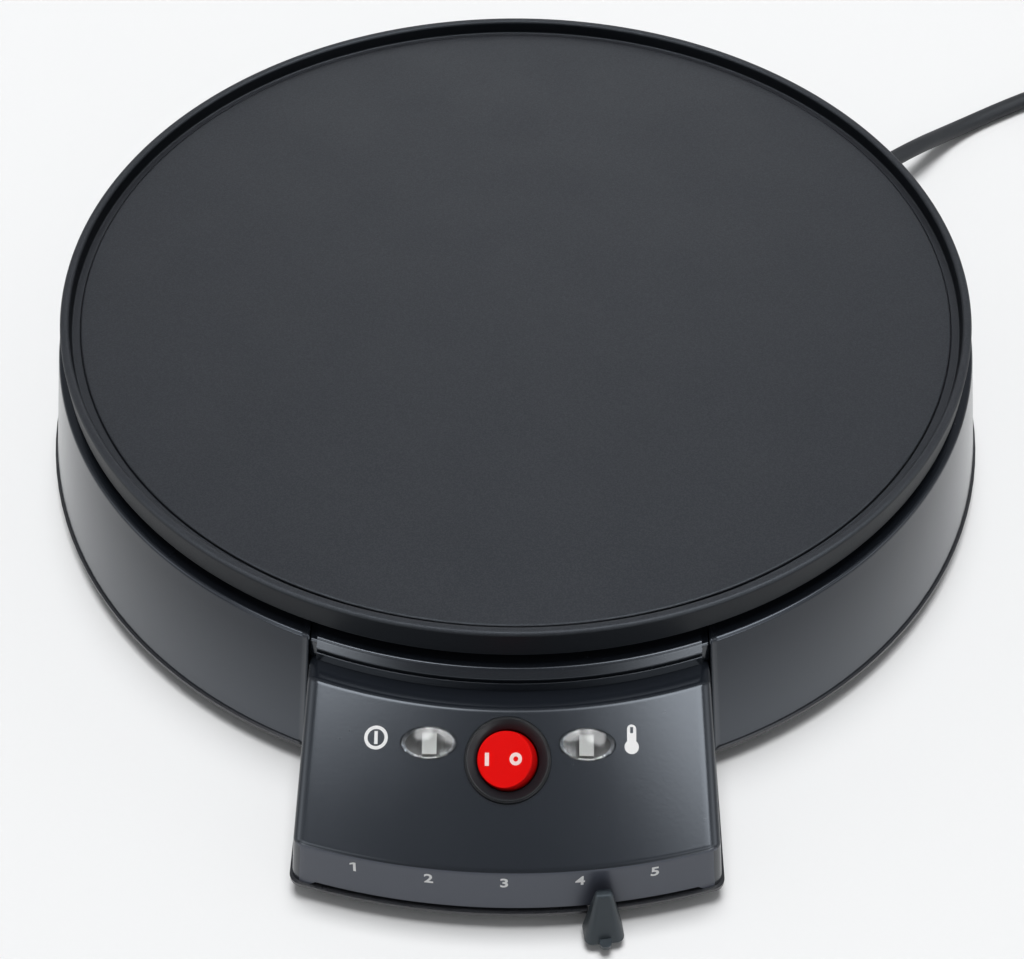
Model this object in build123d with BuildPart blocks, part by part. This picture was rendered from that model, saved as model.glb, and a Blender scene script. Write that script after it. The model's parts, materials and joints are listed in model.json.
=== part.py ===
from build123d import *
import math
import os

os.makedirs("parts", exist_ok=True)

# Electric crepe maker: a round cast hotplate on a moulded drum, with a control pod at the front (-Y).
# The origin is on the resting surface, under the middle of the appliance, and +Z is up.
# Everything round is centred on the drum axis, an upright line a little behind the origin.

# ------------------------------------------------------------------ driving dimensions (mm)
# Height stack, from the resting surface up
foot_height = 5.0
cover_thickness = 2.5
housing_height = 45.5
plate_gap = 4.0                # open shadow gap between drum and hotplate
plate_height = 10.1            # skirt edge to rim top
rim_step = 4.2                 # rim top down to the cooking surface
plate_web = 5.0
channel_depth = 1.0            # drip channel floor below the cooking surface

# Hotplate
plate_radius = 156.0
rim_width = 3.2
channel_width = 3.0
skirt_depth = 0.9              # skirt hangs this far below the web
element_pitch_radius = 100.0
element_radius = 3.3
element_rib_width = 15.0
element_rib_depth = 5.6
element_gap_angle = 24.0       # open angle between the element's two ends
element_bend = 8.0
element_leg_length = 8.0
terminal_pin_radius = 1.6
terminal_pin_length = 9.0

# Drum housing
drum_top_radius = 158.7
drum_flare = 8.8               # the wall leans out by this much down to its foot
shell_wall = 2.5
shoulder_radius = 3.5
ring_width = 8.1               # from the drum's top edge in to the reflector's seat
flange_thickness = 2.5
flange_width = 8.6             # width of the reflector's seat
seat_drop = 2.0                # reflector seat below the drum's top ring

# Base cover
lip_proud = 0.8
lip_chamfer = 1.0
lip_corner_rounding = 3.8
locating_rib_height = 3.5
locating_rib_width = 1.6
vent_count = 24
vent_pitch_radius = 85.0
vent_length = 18.0
vent_width = 3.0

# Control pod
pod_length = 44.5              # from the drum's foot to the front band's lower edge
pod_half_width = 63.7          # at the parting plane
pod_draft = 5.7                # side wall draft, degrees
pod_wall = 2.4
pod_side_rounding = 2.2
band_height = 18.7
band_lean = 2.0                # the front band's upper edge stands this far back from its foot
panel_drop = 6.6               # panel's upper edge below the drum's top
valley_width = 7.7
valley_depth = 1.6             # below the panel's upper edge
ridge_height = 3.5
ridge_lean = 1.9
ridge_setback = 0.7            # ridge's crest behind the drum's top edge
panel_low_rounding = 2.2
panel_top_rounding = 2.4
ridge_rounding = 1.2
ridge_end_gap = 2.0            # ridge stops this far inside the pod's sides
ridge_end_drop = 1.2           # the two end steps stand this far behind and below the ridge
ridge_groove_width = 1.4       # under the ridge's leaning face
ridge_groove_depth = 1.0
seam = 0.3                     # open seam between the two housings
seam_edge_rounding = 1.0       # drum's edges along the seam

# Temperature lever
slot_height = 1.8
slot_half_angle = 16.2
lever_rest_angle = 7.5         # knob stands between the fourth and fifth marks
arm_thickness = 1.2
arm_width = 8.0
arm_hub_radius = 9.0
arm_taper_length = 60.0
arm_overlap = 3.7              # arm's end inside the knob
knob_gap = 1.3                 # knob's back clear of the front band
knob_height = 17.2
knob_bottom_height = 3.5
knob_foot_depth = 8.4
knob_foot_width = 11.8
knob_top_depth = 2.6
knob_top_width = 5.0
knob_corner = 2.4
knob_top_rounding = 1.0
knob_top_corner = 1.2
knob_nub_width = 3.6
knob_nub_depth = 2.0
knob_nub_height = 1.8
knob_nub_corner = 1.6
spindle_radius = 3.0
spindle_collar_radius = 6.0
spindle_collar_height = 2.0
pilot_radius = 2.5
pilot_depth = 1.8
pilot_boss_radius = 6.0
pilot_boss_drop = 1.0
bearing_clearance = 0.05

# Thermostat, hung under the middle of the hotplate
bracket_thickness = 1.2
bracket_length = 60.0
bracket_width = 14.0
bracket_drop = 9.9             # bracket's top face below the hotplate's web
bracket_boss_spacing = 48.0
bracket_boss_radius = 5.0
thermostat_radius = 11.0
thermostat_flat = 9.5          # from the middle to the flats that carry the blades
thermostat_height = 12.8
heat_pad_radius = 7.0
thermostat_neck_radius = 4.9
bush_radius = 4.5
bush_length = 8.0
spindle_engagement = 6.0
blade_width = 6.3
blade_thickness = 0.8
blade_length = 8.0
fuse_radius = 2.0
fuse_length = 14.0
fuse_offset = 15.5
clip_thickness = 0.6
clip_width = 6.0

# Heat reflector
reflector_thickness = 0.6
reflector_depth = 6.0
reflector_rim_clearance = 0.8
reflector_wall_clearance = 1.0
reflector_slope = 3.0
reflector_opening_radius = 32.0
reflector_lead_hole_radius = 7.0

# Hotplate mounting
mount_pitch_radius = 118.0
mount_count = 3
mount_boss_radius = 7.0
post_height = 14.5
post_radius = 7.0
spacer_radius = 5.5
spacer_bore_radius = 2.3
mount_thread_depth = 8.0

# Fasteners
screw_radius = 2.0
screw_clearance = 0.25
thread_clearance = 0.05
screw_head_radius = 3.8
screw_head_height = 2.4
small_screw_radius = 1.5
small_head_radius = 2.8
small_head_height = 1.8

# Feet, and the drum bosses that they are screwed to
foot_inset = 17.5              # foot's middle, in from the drum's foot
foot_front_angle = 38.0        # from the front, either side
foot_rear_angle = 142.0
foot_radius = 10.0
foot_recess_depth = 3.0
foot_rounding = 1.0
drum_boss_radius = 5.0
drum_boss_height = 18.0
drum_boss_rib_width = 2.4
drum_screw_depth = 12.0

# Pod bosses
pod_boss_inset = 10.8          # in from the pod's sides
pod_boss_setback = 47.0        # back from the front band
pod_boss_radius = 3.9
pod_boss_height = 16.0
pod_boss_rib_width = 2.2
pod_screw_depth = 10.0

# Rocker switch, on the panel
switch_setback = 31.0          # back from the front band
switch_bezel_radius = 12.7
switch_bezel_height = 1.3
switch_dish_depth = 0.8
switch_dish_margin = 0.3
switch_barrel_radius = 10.0
switch_barrel_depth = 15.0
switch_hole_clearance = 0.15
rocker_radius = 8.75
rocker_clearance = 0.3
rocker_pivot_depth = 2.6       # below the panel's surface
rocker_shoulder = 2.1          # full round body up to this height above the pivot
rocker_crown = 5.0
rocker_crown_radius = 8.15
rocker_keel = 3.5
rocker_tilt = 11.0
trunnion_radius = 1.3
trunnion_engagement = 0.6
switch_well_depth = 10.0
switch_blade_width = 4.8
switch_blade_length = 7.0
switch_blade_pitch = 6.35
bezel_mouth_depth = 1.8
bezel_mouth_width = 2.8
rocker_dish_radius = 60.0
rocker_dish_depth = 0.5
rocker_rounding = 0.7
bezel_rounding = 0.5

# Indicator lenses
lens_offset = 23.1
lens_setback = 34.2            # back from the front band
lens_length = 16.5
lens_width = 9.3
lens_seat_depth = 1.2
lens_dome_radius = 22.0
lens_crown = 1.5
lens_neck_length = 13.4
lens_neck_width = 7.6
lens_neck_depth = 7.0
fit_clearance = 0.1
lamp_width = 4.0
lamp_breadth = 5.8
lamp_length = 12.0
lamp_socket_depth = 4.0

# Mains inlet
inlet_azimuth = 40.3           # measured from +X towards +Y
inlet_height = 16.0
gland_pad_radius = 8.4
gland_pad_proud = 1.0          # beyond the drum's foot
gland_pad_depth = 8.0
gland_hole_radius = 5.2
gland_neck_radius = 5.1
gland_flange_radius = 7.6
gland_flange_thickness = 2.6
gland_collar_thickness = 2.4
gland_tail_length = 21.0
gland_tail_root_radius = 6.0
gland_tail_tip_radius = 4.7
gland_ring_count = 5
gland_ring_width = 1.6
gland_ring_depth = 0.7
cord_radius = 3.4
cord_level_run = 21.0          # from the gland before the cord first bends
sheath_stripping = 9.0         # from the clamp to the end of the sheath
clamp_setback = 20.5           # in from the inlet pad
clamp_width = 26.0
clamp_depth = 8.0
clamp_thickness = 3.0
clamp_post_half_spacing = 9.0
clamp_post_radius = 3.6
clamp_screw_depth = 8.0
block_setback = 31.0           # in from the cord clamp
block_width = 32.0
block_depth = 16.0
block_height = 15.0
block_pitch = 9.0
block_rounding = 1.2
block_bore_radius = 1.9
block_screw_radius = 2.2
block_screw_height = 4.0
block_bore_height = 6.0        # above the cover's floor
block_lead_depth = 5.0
core_spread = 1.8              # between the cores where they leave the sheath
core_run = 3.5
lead_bend_share = 0.35
lead_radius = 1.1
lead_straight = 24.0           # straight run out of the terminal block
earth_screw_azimuth = 60.0
earth_screw_distance = 62.0
earth_boss_radius = 5.0
earth_boss_depth = 4.0

# Coil, tie and plug of the cord
coil_mean_radius = 37.0
coil_layers = 2
coil_lift = 0.9
tie_width = 8.0
tie_thickness = 0.7
tie_clearance = 0.1
tie_azimuth = 200.0
plug_width = 50.0
plug_length = 47.0
plug_height = 19.0
plug_shoulder = 10.0
plug_sleeve_length = 16.0
plug_sleeve_root_radius = 5.8
plug_sleeve_tip_radius = 4.5
plug_neck_width = 26.0
plug_rounding = 3.0
pin_length = 17.7
earth_pin_length = 22.7
live_pin_width = 6.35
pin_thickness = 4.0
earth_pin_width = 8.0
pin_spacing = 22.2
pin_setback = 16.0
pin_clearance = 0.1
pin_chamfer = 1.0
fuse_carrier_width = 10.0
fuse_carrier_length = 24.0
fuse_carrier_proud = 0.6
fuse_carrier_depth = 5.0
fuse_carrier_setback = 7.0
pin_root_depth = 6.0

# ------------------------------------------------------------------ derived sizes
cover_under = foot_height
floor_z = cover_under + cover_thickness            # parting plane, and the cover's inner floor
housing_top = floor_z + housing_height
skirt_z = housing_top + plate_gap
rim_z = skirt_z + plate_height
surface_z = rim_z - rim_step
web_z = surface_z - plate_web
drum_base_radius = drum_top_radius + drum_flare
seat_radius = drum_top_radius - ring_width
flange_opening_radius = seat_radius - flange_width
lip_radius = drum_base_radius + lip_proud
pod_reach = drum_base_radius + pod_length
panel_low_radius = pod_reach - band_lean
panel_low_height = floor_z + band_height
ridge_top_radius = drum_top_radius - ridge_setback
ridge_radius = ridge_top_radius + ridge_lean
ridge_foot_height = housing_top - ridge_height
panel_top_radius = ridge_radius + valley_width
panel_top_height = housing_top - panel_drop
valley_height = panel_top_height - valley_depth
knob_back = pod_reach + knob_gap
arm_reach = knob_back + arm_overlap
foot_pitch_radius = drum_base_radius - foot_inset
pod_boss_half_spacing = pod_half_width - pod_boss_inset
pod_boss_distance = pod_reach - pod_boss_setback
switch_distance = pod_reach - switch_setback
lens_distance = pod_reach - lens_setback
gland_pad_face = drum_base_radius + gland_pad_proud
gland_pad_back = gland_pad_face - gland_pad_depth
clamp_distance = gland_pad_back - clamp_setback
sheath_end_distance = clamp_distance - sheath_stripping
block_distance = clamp_distance - block_setback
knob_front = knob_back + knob_foot_depth + knob_nub_depth

# The origin is midway between the knob's tip and the drum's back.
front_reach = knob_front * math.cos(math.radians(lever_rest_angle))
axis_y = (front_reach - lip_radius) / 2
drum_axis = Axis((0, axis_y, 0), (0, 0, 1))
front = -90.0                                      # azimuth of the front, from +X


def level(height):
    """Horizontal plane with its origin on the drum axis."""
    return Plane(origin=(0, axis_y, height))


def upright(azimuth):
    """Upright plane through the drum axis: local x runs outward, local y runs up."""
    turn = math.radians(azimuth)
    outward = (math.cos(turn), math.sin(turn), 0)
    sideways = (math.sin(turn), -math.cos(turn), 0)
    return Plane(origin=(0, axis_y, 0), x_dir=outward, z_dir=sideways)


def spot(radius, azimuth):
    """Point on a horizontal plane of the drum axis, by distance and azimuth."""
    return (radius * math.cos(math.radians(azimuth)), radius * math.sin(math.radians(azimuth)))


def drum_radius_at(height):
    """Outer radius of the drafted drum wall at a height."""
    share = (height - floor_z) / housing_height
    return drum_base_radius + (drum_top_radius - drum_base_radius) * share


def pod_half_at(height):
    """Half width of the pod's drafted sides at a height."""
    return pod_half_width - (height - floor_z) * math.tan(math.radians(pod_draft))


def finish(builder, name):
    """Label a finished piece and write it under its node name."""
    builder.part.label = name
    export_step(builder.part, f"parts/{name}.step")


foot_azimuths = [front - foot_rear_angle, front - foot_front_angle,
                 front + foot_front_angle, front + foot_rear_angle]
foot_spots = [spot(foot_pitch_radius, azimuth) for azimuth in foot_azimuths]
pod_boss_y = -math.sqrt(pod_boss_distance**2 - pod_boss_half_spacing**2)
pod_boss_spots = [(-pod_boss_half_spacing, pod_boss_y), (pod_boss_half_spacing, pod_boss_y)]
rear = 90.0                                        # azimuth of the first hotplate mount
beyond = 2.0                                       # how far a cut runs past the face it opens

# ------------------------------------------------------------------ hotplate
surface_radius = plate_radius - rim_width - channel_width
with BuildPart() as hotplate:
    with BuildSketch(upright(0)) as plate_profile:
        with BuildLine():
            Polyline(
                (0, web_z),
                (plate_radius - rim_width, web_z),
                (plate_radius - rim_width, web_z - skirt_depth),
                (plate_radius, web_z - skirt_depth),
                (plate_radius, rim_z),
                (plate_radius - rim_width, rim_z),
                (plate_radius - rim_width, surface_z - channel_depth),
                (surface_radius, surface_z - channel_depth),
                (surface_radius, surface_z),
                (0, surface_z),
                close=True,
            )
        make_face()
        rim_corners = plate_profile.vertices().filter_by_position(Axis.Y, rim_z - 0.1, rim_z + 0.1)
        fillet(rim_corners, radius=1.2)
        edge_corner = plate_profile.vertices().filter_by_position(Axis.Y, surface_z - 0.1, surface_z + 0.1)
        fillet(edge_corner.sort_by(Axis.X)[-1], radius=0.8)
    revolve(axis=drum_axis)
    with BuildSketch(level(web_z)):
        Circle(element_pitch_radius + element_rib_width / 2)
        Circle(element_pitch_radius - element_rib_width / 2, mode=Mode.SUBTRACT)
    extrude(amount=-element_rib_depth)
    element_z = web_z - element_rib_depth
    with BuildSketch(upright(0)):
        with Locations((element_pitch_radius, element_z)):
            Circle(element_radius + thread_clearance)
    revolve(axis=drum_axis, mode=Mode.SUBTRACT)
    reflector_floor = housing_top - seat_drop - reflector_depth
    with BuildSketch(level(web_z)):
        with PolarLocations(mount_pitch_radius, mount_count, start_angle=rear):
            Circle(mount_boss_radius)
    extrude(amount=-(web_z - reflector_floor - reflector_thickness))
    with BuildSketch(level(reflector_floor)):
        with PolarLocations(mount_pitch_radius, mount_count, start_angle=rear):
            Circle(screw_radius + thread_clearance)
    extrude(amount=reflector_thickness + mount_thread_depth + beyond, mode=Mode.SUBTRACT)
    with BuildSketch(level(web_z)):
        with GridLocations(bracket_boss_spacing, 0, 2, 1):
            Circle(bracket_boss_radius)
    extrude(amount=-bracket_drop)
    with BuildSketch(level(web_z - bracket_drop)):
        with GridLocations(bracket_boss_spacing, 0, 2, 1):
            Circle(screw_radius + thread_clearance)
    extrude(amount=mount_thread_depth, mode=Mode.SUBTRACT)
    with BuildSketch(level(web_z)):
        with Locations(spot(earth_screw_distance, earth_screw_azimuth)):
            Circle(earth_boss_radius)
    extrude(amount=-earth_boss_depth)
    with BuildSketch(level(web_z - earth_boss_depth)):
        with Locations(spot(earth_screw_distance, earth_screw_azimuth)):
            Circle(screw_radius + thread_clearance)
    extrude(amount=mount_thread_depth - beyond, mode=Mode.SUBTRACT)
finish(hotplate, "hotplate")

# ------------------------------------------------------------------ sheathed heating element
element_start = rear + element_gap_angle / 2
with BuildPart() as heating_element:
    with BuildSketch(upright(element_start)):
        with Locations((element_pitch_radius, element_z)):
            Circle(element_radius)
    revolve(axis=drum_axis, revolution_arc=360 - element_gap_angle)
    for azimuth, side in ((element_start, 1), (rear - element_gap_angle / 2, -1)):
        end_plane = upright(azimuth)
        end_centre = end_plane.from_local_coords((element_pitch_radius, element_z, 0))
        onward = end_plane.z_dir * side
        bend_centre = end_centre - Vector(0, 0, element_bend)
        with BuildSketch(Plane(origin=end_centre, x_dir=end_plane.x_dir, z_dir=onward)):
            Circle(element_radius)
        revolve(axis=Axis(bend_centre, end_plane.x_dir * side), revolution_arc=90)
        leg_top = bend_centre + onward * element_bend
        with BuildSketch(Plane(origin=leg_top, x_dir=end_plane.x_dir, z_dir=(0, 0, -1))):
            Circle(element_radius)
        extrude(amount=element_leg_length)
finish(heating_element, "heating_element")

# Terminal pins stand out of the sealed ends of the element's two legs.
leg_end_z = element_z - element_bend - element_leg_length
leg_turn = math.degrees(math.atan2(element_bend, element_pitch_radius))
leg_pitch_radius = math.hypot(element_pitch_radius, element_bend)
leg_spots = [spot(leg_pitch_radius, rear + side * (element_gap_angle / 2 - leg_turn)) for side in (1, -1)]
with BuildPart() as element_terminals:
    with BuildSketch(level(leg_end_z)):
        with Locations(*leg_spots):
            Circle(terminal_pin_radius)
    extrude(amount=-terminal_pin_length)
finish(element_terminals, "element_terminals")

# ------------------------------------------------------------------ heat reflector
seat_z = housing_top - seat_drop
dish_radius = flange_opening_radius - reflector_wall_clearance
dish_floor_radius = dish_radius - reflector_slope
with BuildPart() as heat_reflector:
    with BuildSketch(upright(0)):
        with BuildLine():
            Polyline(
                (reflector_opening_radius, reflector_floor),
                (dish_floor_radius, reflector_floor),
                (dish_radius, seat_z),
                (seat_radius - reflector_rim_clearance, seat_z),
                (seat_radius - reflector_rim_clearance, seat_z + reflector_thickness),
                (dish_radius - reflector_thickness, seat_z + reflector_thickness),
                (dish_floor_radius - reflector_thickness, reflector_floor + reflector_thickness),
                (reflector_opening_radius, reflector_floor + reflector_thickness),
                close=True,
            )
        make_face()
    revolve(axis=drum_axis)
    with BuildSketch(level(reflector_floor)):
        with PolarLocations(mount_pitch_radius, mount_count, start_angle=rear):
            Circle(screw_radius + screw_clearance)
        with Locations(*leg_spots):
            Circle(reflector_lead_hole_radius)
        with Locations(spot(earth_screw_distance, earth_screw_azimuth)):
            Circle(reflector_lead_hole_radius)
    extrude(amount=reflector_thickness, mode=Mode.SUBTRACT)
finish(heat_reflector, "heat_reflector")

# ------------------------------------------------------------------ drum housing
inlet_plane = Plane(
    origin=upright(inlet_azimuth).from_local_coords((0, inlet_height, 0)),
    x_dir=(0, 0, 1),
    z_dir=upright(inlet_azimuth).x_dir,
)


def inlet_section(distance):
    """Upright plane square to the inlet's axis, at a distance from the drum axis."""
    return inlet_plane.offset(distance)


def pod_block(margin):
    """Room that the pod takes up, grown by a margin, as a drafted block over the front of the drum."""
    low = floor_z - beyond
    high = housing_top + beyond
    inner = seat_radius + 2 * seam - margin
    with BuildPart() as block:
        with BuildSketch(upright(front - 40)):
            with Locations((inner, low)):
                Rectangle(pod_reach + margin - inner, high - low, align=(Align.MIN, Align.MIN))
        revolve(axis=drum_axis, revolution_arc=80)
        with BuildSketch(upright(0).offset(seat_radius / 2)):
            with BuildLine():
                Polyline(
                    (-pod_half_at(low) - margin, low),
                    (pod_half_at(low) + margin, low),
                    (pod_half_at(high) + margin, high),
                    (-pod_half_at(high) - margin, high),
                    close=True,
                )
            make_face()
        extrude(amount=pod_reach, mode=Mode.INTERSECT)
    return block.part


with BuildPart() as drum_cavity:
    flange_z = seat_z - flange_thickness
    with BuildSketch(upright(0)):
        with BuildLine():
            Polyline(
                (0, floor_z - beyond),
                (drum_radius_at(floor_z - beyond) - shell_wall, floor_z - beyond),
                (drum_radius_at(flange_z) - shell_wall, flange_z),
                (flange_opening_radius, flange_z),
                (flange_opening_radius, seat_z),
                (seat_radius, seat_z),
                (seat_radius, housing_top + beyond),
                (0, housing_top + beyond),
                close=True,
            )
        make_face()
    revolve(axis=drum_axis)
    # Bosses for the foot screws stay, tied to the wall by a rib each.
    with BuildSketch(level(floor_z)):
        for azimuth in foot_azimuths:
            with PolarLocations(foot_pitch_radius, 1, start_angle=azimuth):
                Circle(drum_boss_radius)
                Rectangle(
                    lip_radius - foot_pitch_radius,
                    drum_boss_rib_width,
                    align=(Align.MIN, Align.CENTER),
                )
    extrude(amount=drum_boss_height, mode=Mode.SUBTRACT)
    with BuildSketch(inlet_section(gland_pad_back)):
        Circle(gland_pad_radius)
    extrude(amount=gland_pad_face - gland_pad_back, mode=Mode.SUBTRACT)

with BuildPart() as drum_housing:
    with BuildSketch(upright(0)) as drum_profile:
        with BuildLine():
            Polyline(
                (0, floor_z),
                (drum_base_radius, floor_z),
                (drum_top_radius, housing_top),
                (0, housing_top),
                close=True,
            )
        make_face()
        fillet(drum_profile.vertices().group_by(Axis.Y)[-1].sort_by(Axis.X)[-1], radius=shoulder_radius)
    revolve(axis=drum_axis)
    with BuildSketch(inlet_section(gland_pad_back)):
        Circle(gland_pad_radius)
    extrude(amount=gland_pad_face - gland_pad_back)
    add(drum_cavity.part, mode=Mode.SUBTRACT)
    with BuildSketch(level(floor_z)):
        with Locations(*foot_spots):
            Circle(screw_radius + thread_clearance)
    extrude(amount=drum_screw_depth + beyond, mode=Mode.SUBTRACT)
    with BuildSketch(inlet_section(gland_pad_back - beyond)):
        Circle(gland_hole_radius)
    extrude(amount=gland_pad_face - gland_pad_back + 2 * beyond, mode=Mode.SUBTRACT)
    add(pod_block(seam), mode=Mode.SUBTRACT)
    # Rounded upright edges on either side of the pod.
    seam_edges = [
        edge for edge in drum_housing.edges()
        if edge.length > housing_height / 2
        and abs(edge.center().X) < pod_half_width
        and edge.center().Y < axis_y - drum_top_radius / 2
        and abs(math.hypot(edge.center().X, edge.center().Y - axis_y) - drum_radius_at(edge.center().Z)) < seam
    ]
    fillet(seam_edges, radius=seam_edge_rounding)
finish(drum_housing, "drum_housing")

# ------------------------------------------------------------------ control pod housing
panel_slope = math.atan2(panel_top_height - panel_low_height, panel_low_radius - panel_top_radius)


def panel_height_at(radius):
    """Height of the sloping panel at a distance from the drum axis."""
    return panel_low_height + (panel_low_radius - radius) * math.tan(panel_slope)


def panel_plane(offset, distance):
    """Plane that lies on the panel, x to the right and y up the slope, at an offset from the middle."""
    azimuth = math.radians(front) + math.asin(offset / distance)
    outward = Vector(math.cos(azimuth), math.sin(azimuth), 0)
    centre = outward * distance + Vector(0, axis_y, panel_height_at(distance))
    normal = outward * math.sin(panel_slope) + Vector(0, 0, math.cos(panel_slope))
    return Plane(origin=centre, x_dir=Vector(1, 0, 0) - normal * normal.X, z_dir=normal)


def pod_sides(inset):
    """Drafted block between the pod's two sides, each moved in by an inset."""
    with BuildPart() as block:
        with BuildSketch(upright(0).offset(seat_radius / 2)):
            with BuildLine():
                Polyline(
                    (-pod_half_at(0) + inset, 0),
                    (pod_half_at(0) - inset, 0),
                    (pod_half_at(rim_z) - inset, rim_z),
                    (-pod_half_at(rim_z) + inset, rim_z),
                    close=True,
                )
            make_face()
        extrude(amount=pod_reach)
    return block.part


pod_back = seat_radius + 2 * seam
with BuildPart() as pod_cavity:
    with BuildSketch(upright(front - 40)):
        with BuildLine():
            Polyline(
                (seat_radius - beyond, floor_z - beyond),
                (pod_reach - pod_wall, floor_z - beyond),
                (panel_low_radius - pod_wall, panel_low_height - pod_wall / 2),
                (panel_top_radius, panel_height_at(panel_top_radius) - pod_wall / math.cos(panel_slope)),
                (ridge_radius, valley_height - pod_wall),
                (seat_radius - beyond, valley_height - pod_wall),
                close=True,
            )
        make_face()
    revolve(axis=drum_axis, revolution_arc=80)
    add(pod_sides(pod_wall), mode=Mode.INTERSECT)
    with BuildSketch(level(floor_z)):
        for side in (-1, 1):
            with Locations((side * pod_boss_half_spacing, pod_boss_y)):
                Circle(pod_boss_radius)
                Rectangle(
                    pod_half_width,
                    pod_boss_rib_width,
                    align=(Align.MIN if side > 0 else Align.MAX, Align.CENTER),
                )
    extrude(amount=pod_boss_height, mode=Mode.SUBTRACT)

switch_plane = panel_plane(0, switch_distance)
lens_planes = {
    "power_lens": panel_plane(-lens_offset, lens_distance),
    "ready_lens": panel_plane(lens_offset, lens_distance),
}
valley_slope = (panel_top_height - valley_height) / (panel_top_radius - ridge_radius)
valley_back_height = valley_height - (ridge_radius - pod_back) * valley_slope


def ridge_block(end_gap, drop):
    """Ring sector behind the valley, cut off inside the pod's sides and lowered and set back by the drop."""
    top = housing_top - drop
    with BuildPart() as block:
        with BuildSketch(upright(front - 40)) as profile:
            with BuildLine():
                Polyline(
                    (pod_back, valley_back_height),
                    (ridge_radius - drop, valley_back_height),
                    (ridge_radius - drop, ridge_foot_height - drop),
                    (ridge_top_radius - drop, top),
                    (pod_back, top),
                    close=True,
                )
            make_face()
            fillet(profile.vertices().sort_by_distance((ridge_top_radius - drop, top))[0], radius=ridge_rounding)
        revolve(axis=drum_axis, revolution_arc=80)
        add(pod_sides(end_gap), mode=Mode.INTERSECT)
    return block.part


with BuildPart() as ridge_groove:
    with BuildSketch(upright(front - 40)):
        with Locations((ridge_radius - ridge_groove_depth, ridge_foot_height)):
            Rectangle(ridge_groove_depth + beyond, ridge_groove_width, align=(Align.MIN, Align.MAX))
    revolve(axis=drum_axis, revolution_arc=80)

with BuildPart() as control_housing:
    with BuildSketch(upright(front - 40)) as pod_profile:
        with BuildLine():
            Polyline(
                (pod_back, floor_z),
                (pod_reach, floor_z),
                (panel_low_radius, panel_low_height),
                (panel_top_radius, panel_top_height),
                (pod_back, valley_back_height),
                close=True,
            )
        make_face()
        for corner, rounding in (
            ((panel_low_radius, panel_low_height), panel_low_rounding),
            ((panel_top_radius, panel_top_height), panel_top_rounding),
        ):
            fillet(pod_profile.vertices().sort_by_distance(corner)[0], radius=rounding)
    revolve(axis=drum_axis, revolution_arc=80)
    add(pod_sides(0), mode=Mode.INTERSECT)
    # Rounded shoulders along both sides, from the front band over the panel.
    for side in (0, -1):
        side_edges = control_housing.faces().sort_by(Axis.X)[side].edges()
        outer_edges = [
            edge for edge in side_edges
            if edge.center().Z > floor_z + beyond
            and math.hypot(edge.center().X, edge.center().Y - axis_y) > pod_back + beyond
        ]
        fillet(outer_edges, radius=pod_side_rounding)
    add(ridge_block(0, ridge_end_drop))
    add(ridge_block(ridge_end_gap, 0))
    add(ridge_groove.part, mode=Mode.SUBTRACT)
    add(pod_cavity.part, mode=Mode.SUBTRACT)
    # Slot for the lever, along the foot of the front band.
    with BuildSketch(upright(front - slot_half_angle)):
        with Locations((pod_reach - 2 * pod_wall, floor_z)):
            Rectangle(4 * pod_wall, slot_height, align=(Align.MIN, Align.MIN))
    revolve(axis=drum_axis, revolution_arc=2 * slot_half_angle, mode=Mode.SUBTRACT)
    # Dish and hole for the rocker switch.
    with BuildSketch(switch_plane.offset(-switch_dish_depth)):
        Circle(switch_bezel_radius + switch_dish_margin)
    extrude(amount=switch_dish_depth + beyond, mode=Mode.SUBTRACT)
    with BuildSketch(switch_plane.offset(beyond)):
        Circle(switch_barrel_radius + switch_hole_clearance)
    extrude(amount=-beyond - 4 * pod_wall, mode=Mode.SUBTRACT)
    # Oval seats for the two indicator lenses, each with a smaller oval through the panel.
    for lens_plane in lens_planes.values():
        with BuildSketch(lens_plane.offset(-lens_seat_depth)):
            Ellipse(lens_length / 2 + fit_clearance, lens_width / 2 + fit_clearance)
        extrude(amount=lens_seat_depth + beyond, mode=Mode.SUBTRACT)
        with BuildSketch(lens_plane):
            Ellipse(lens_neck_length / 2 + fit_clearance, lens_neck_width / 2 + fit_clearance)
        extrude(amount=-4 * pod_wall, mode=Mode.SUBTRACT)
    with BuildSketch(level(floor_z)):
        with Locations(*pod_boss_spots):
            Circle(screw_radius + thread_clearance)
    extrude(amount=pod_screw_depth + beyond, mode=Mode.SUBTRACT)
finish(control_housing, "control_housing")

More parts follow.
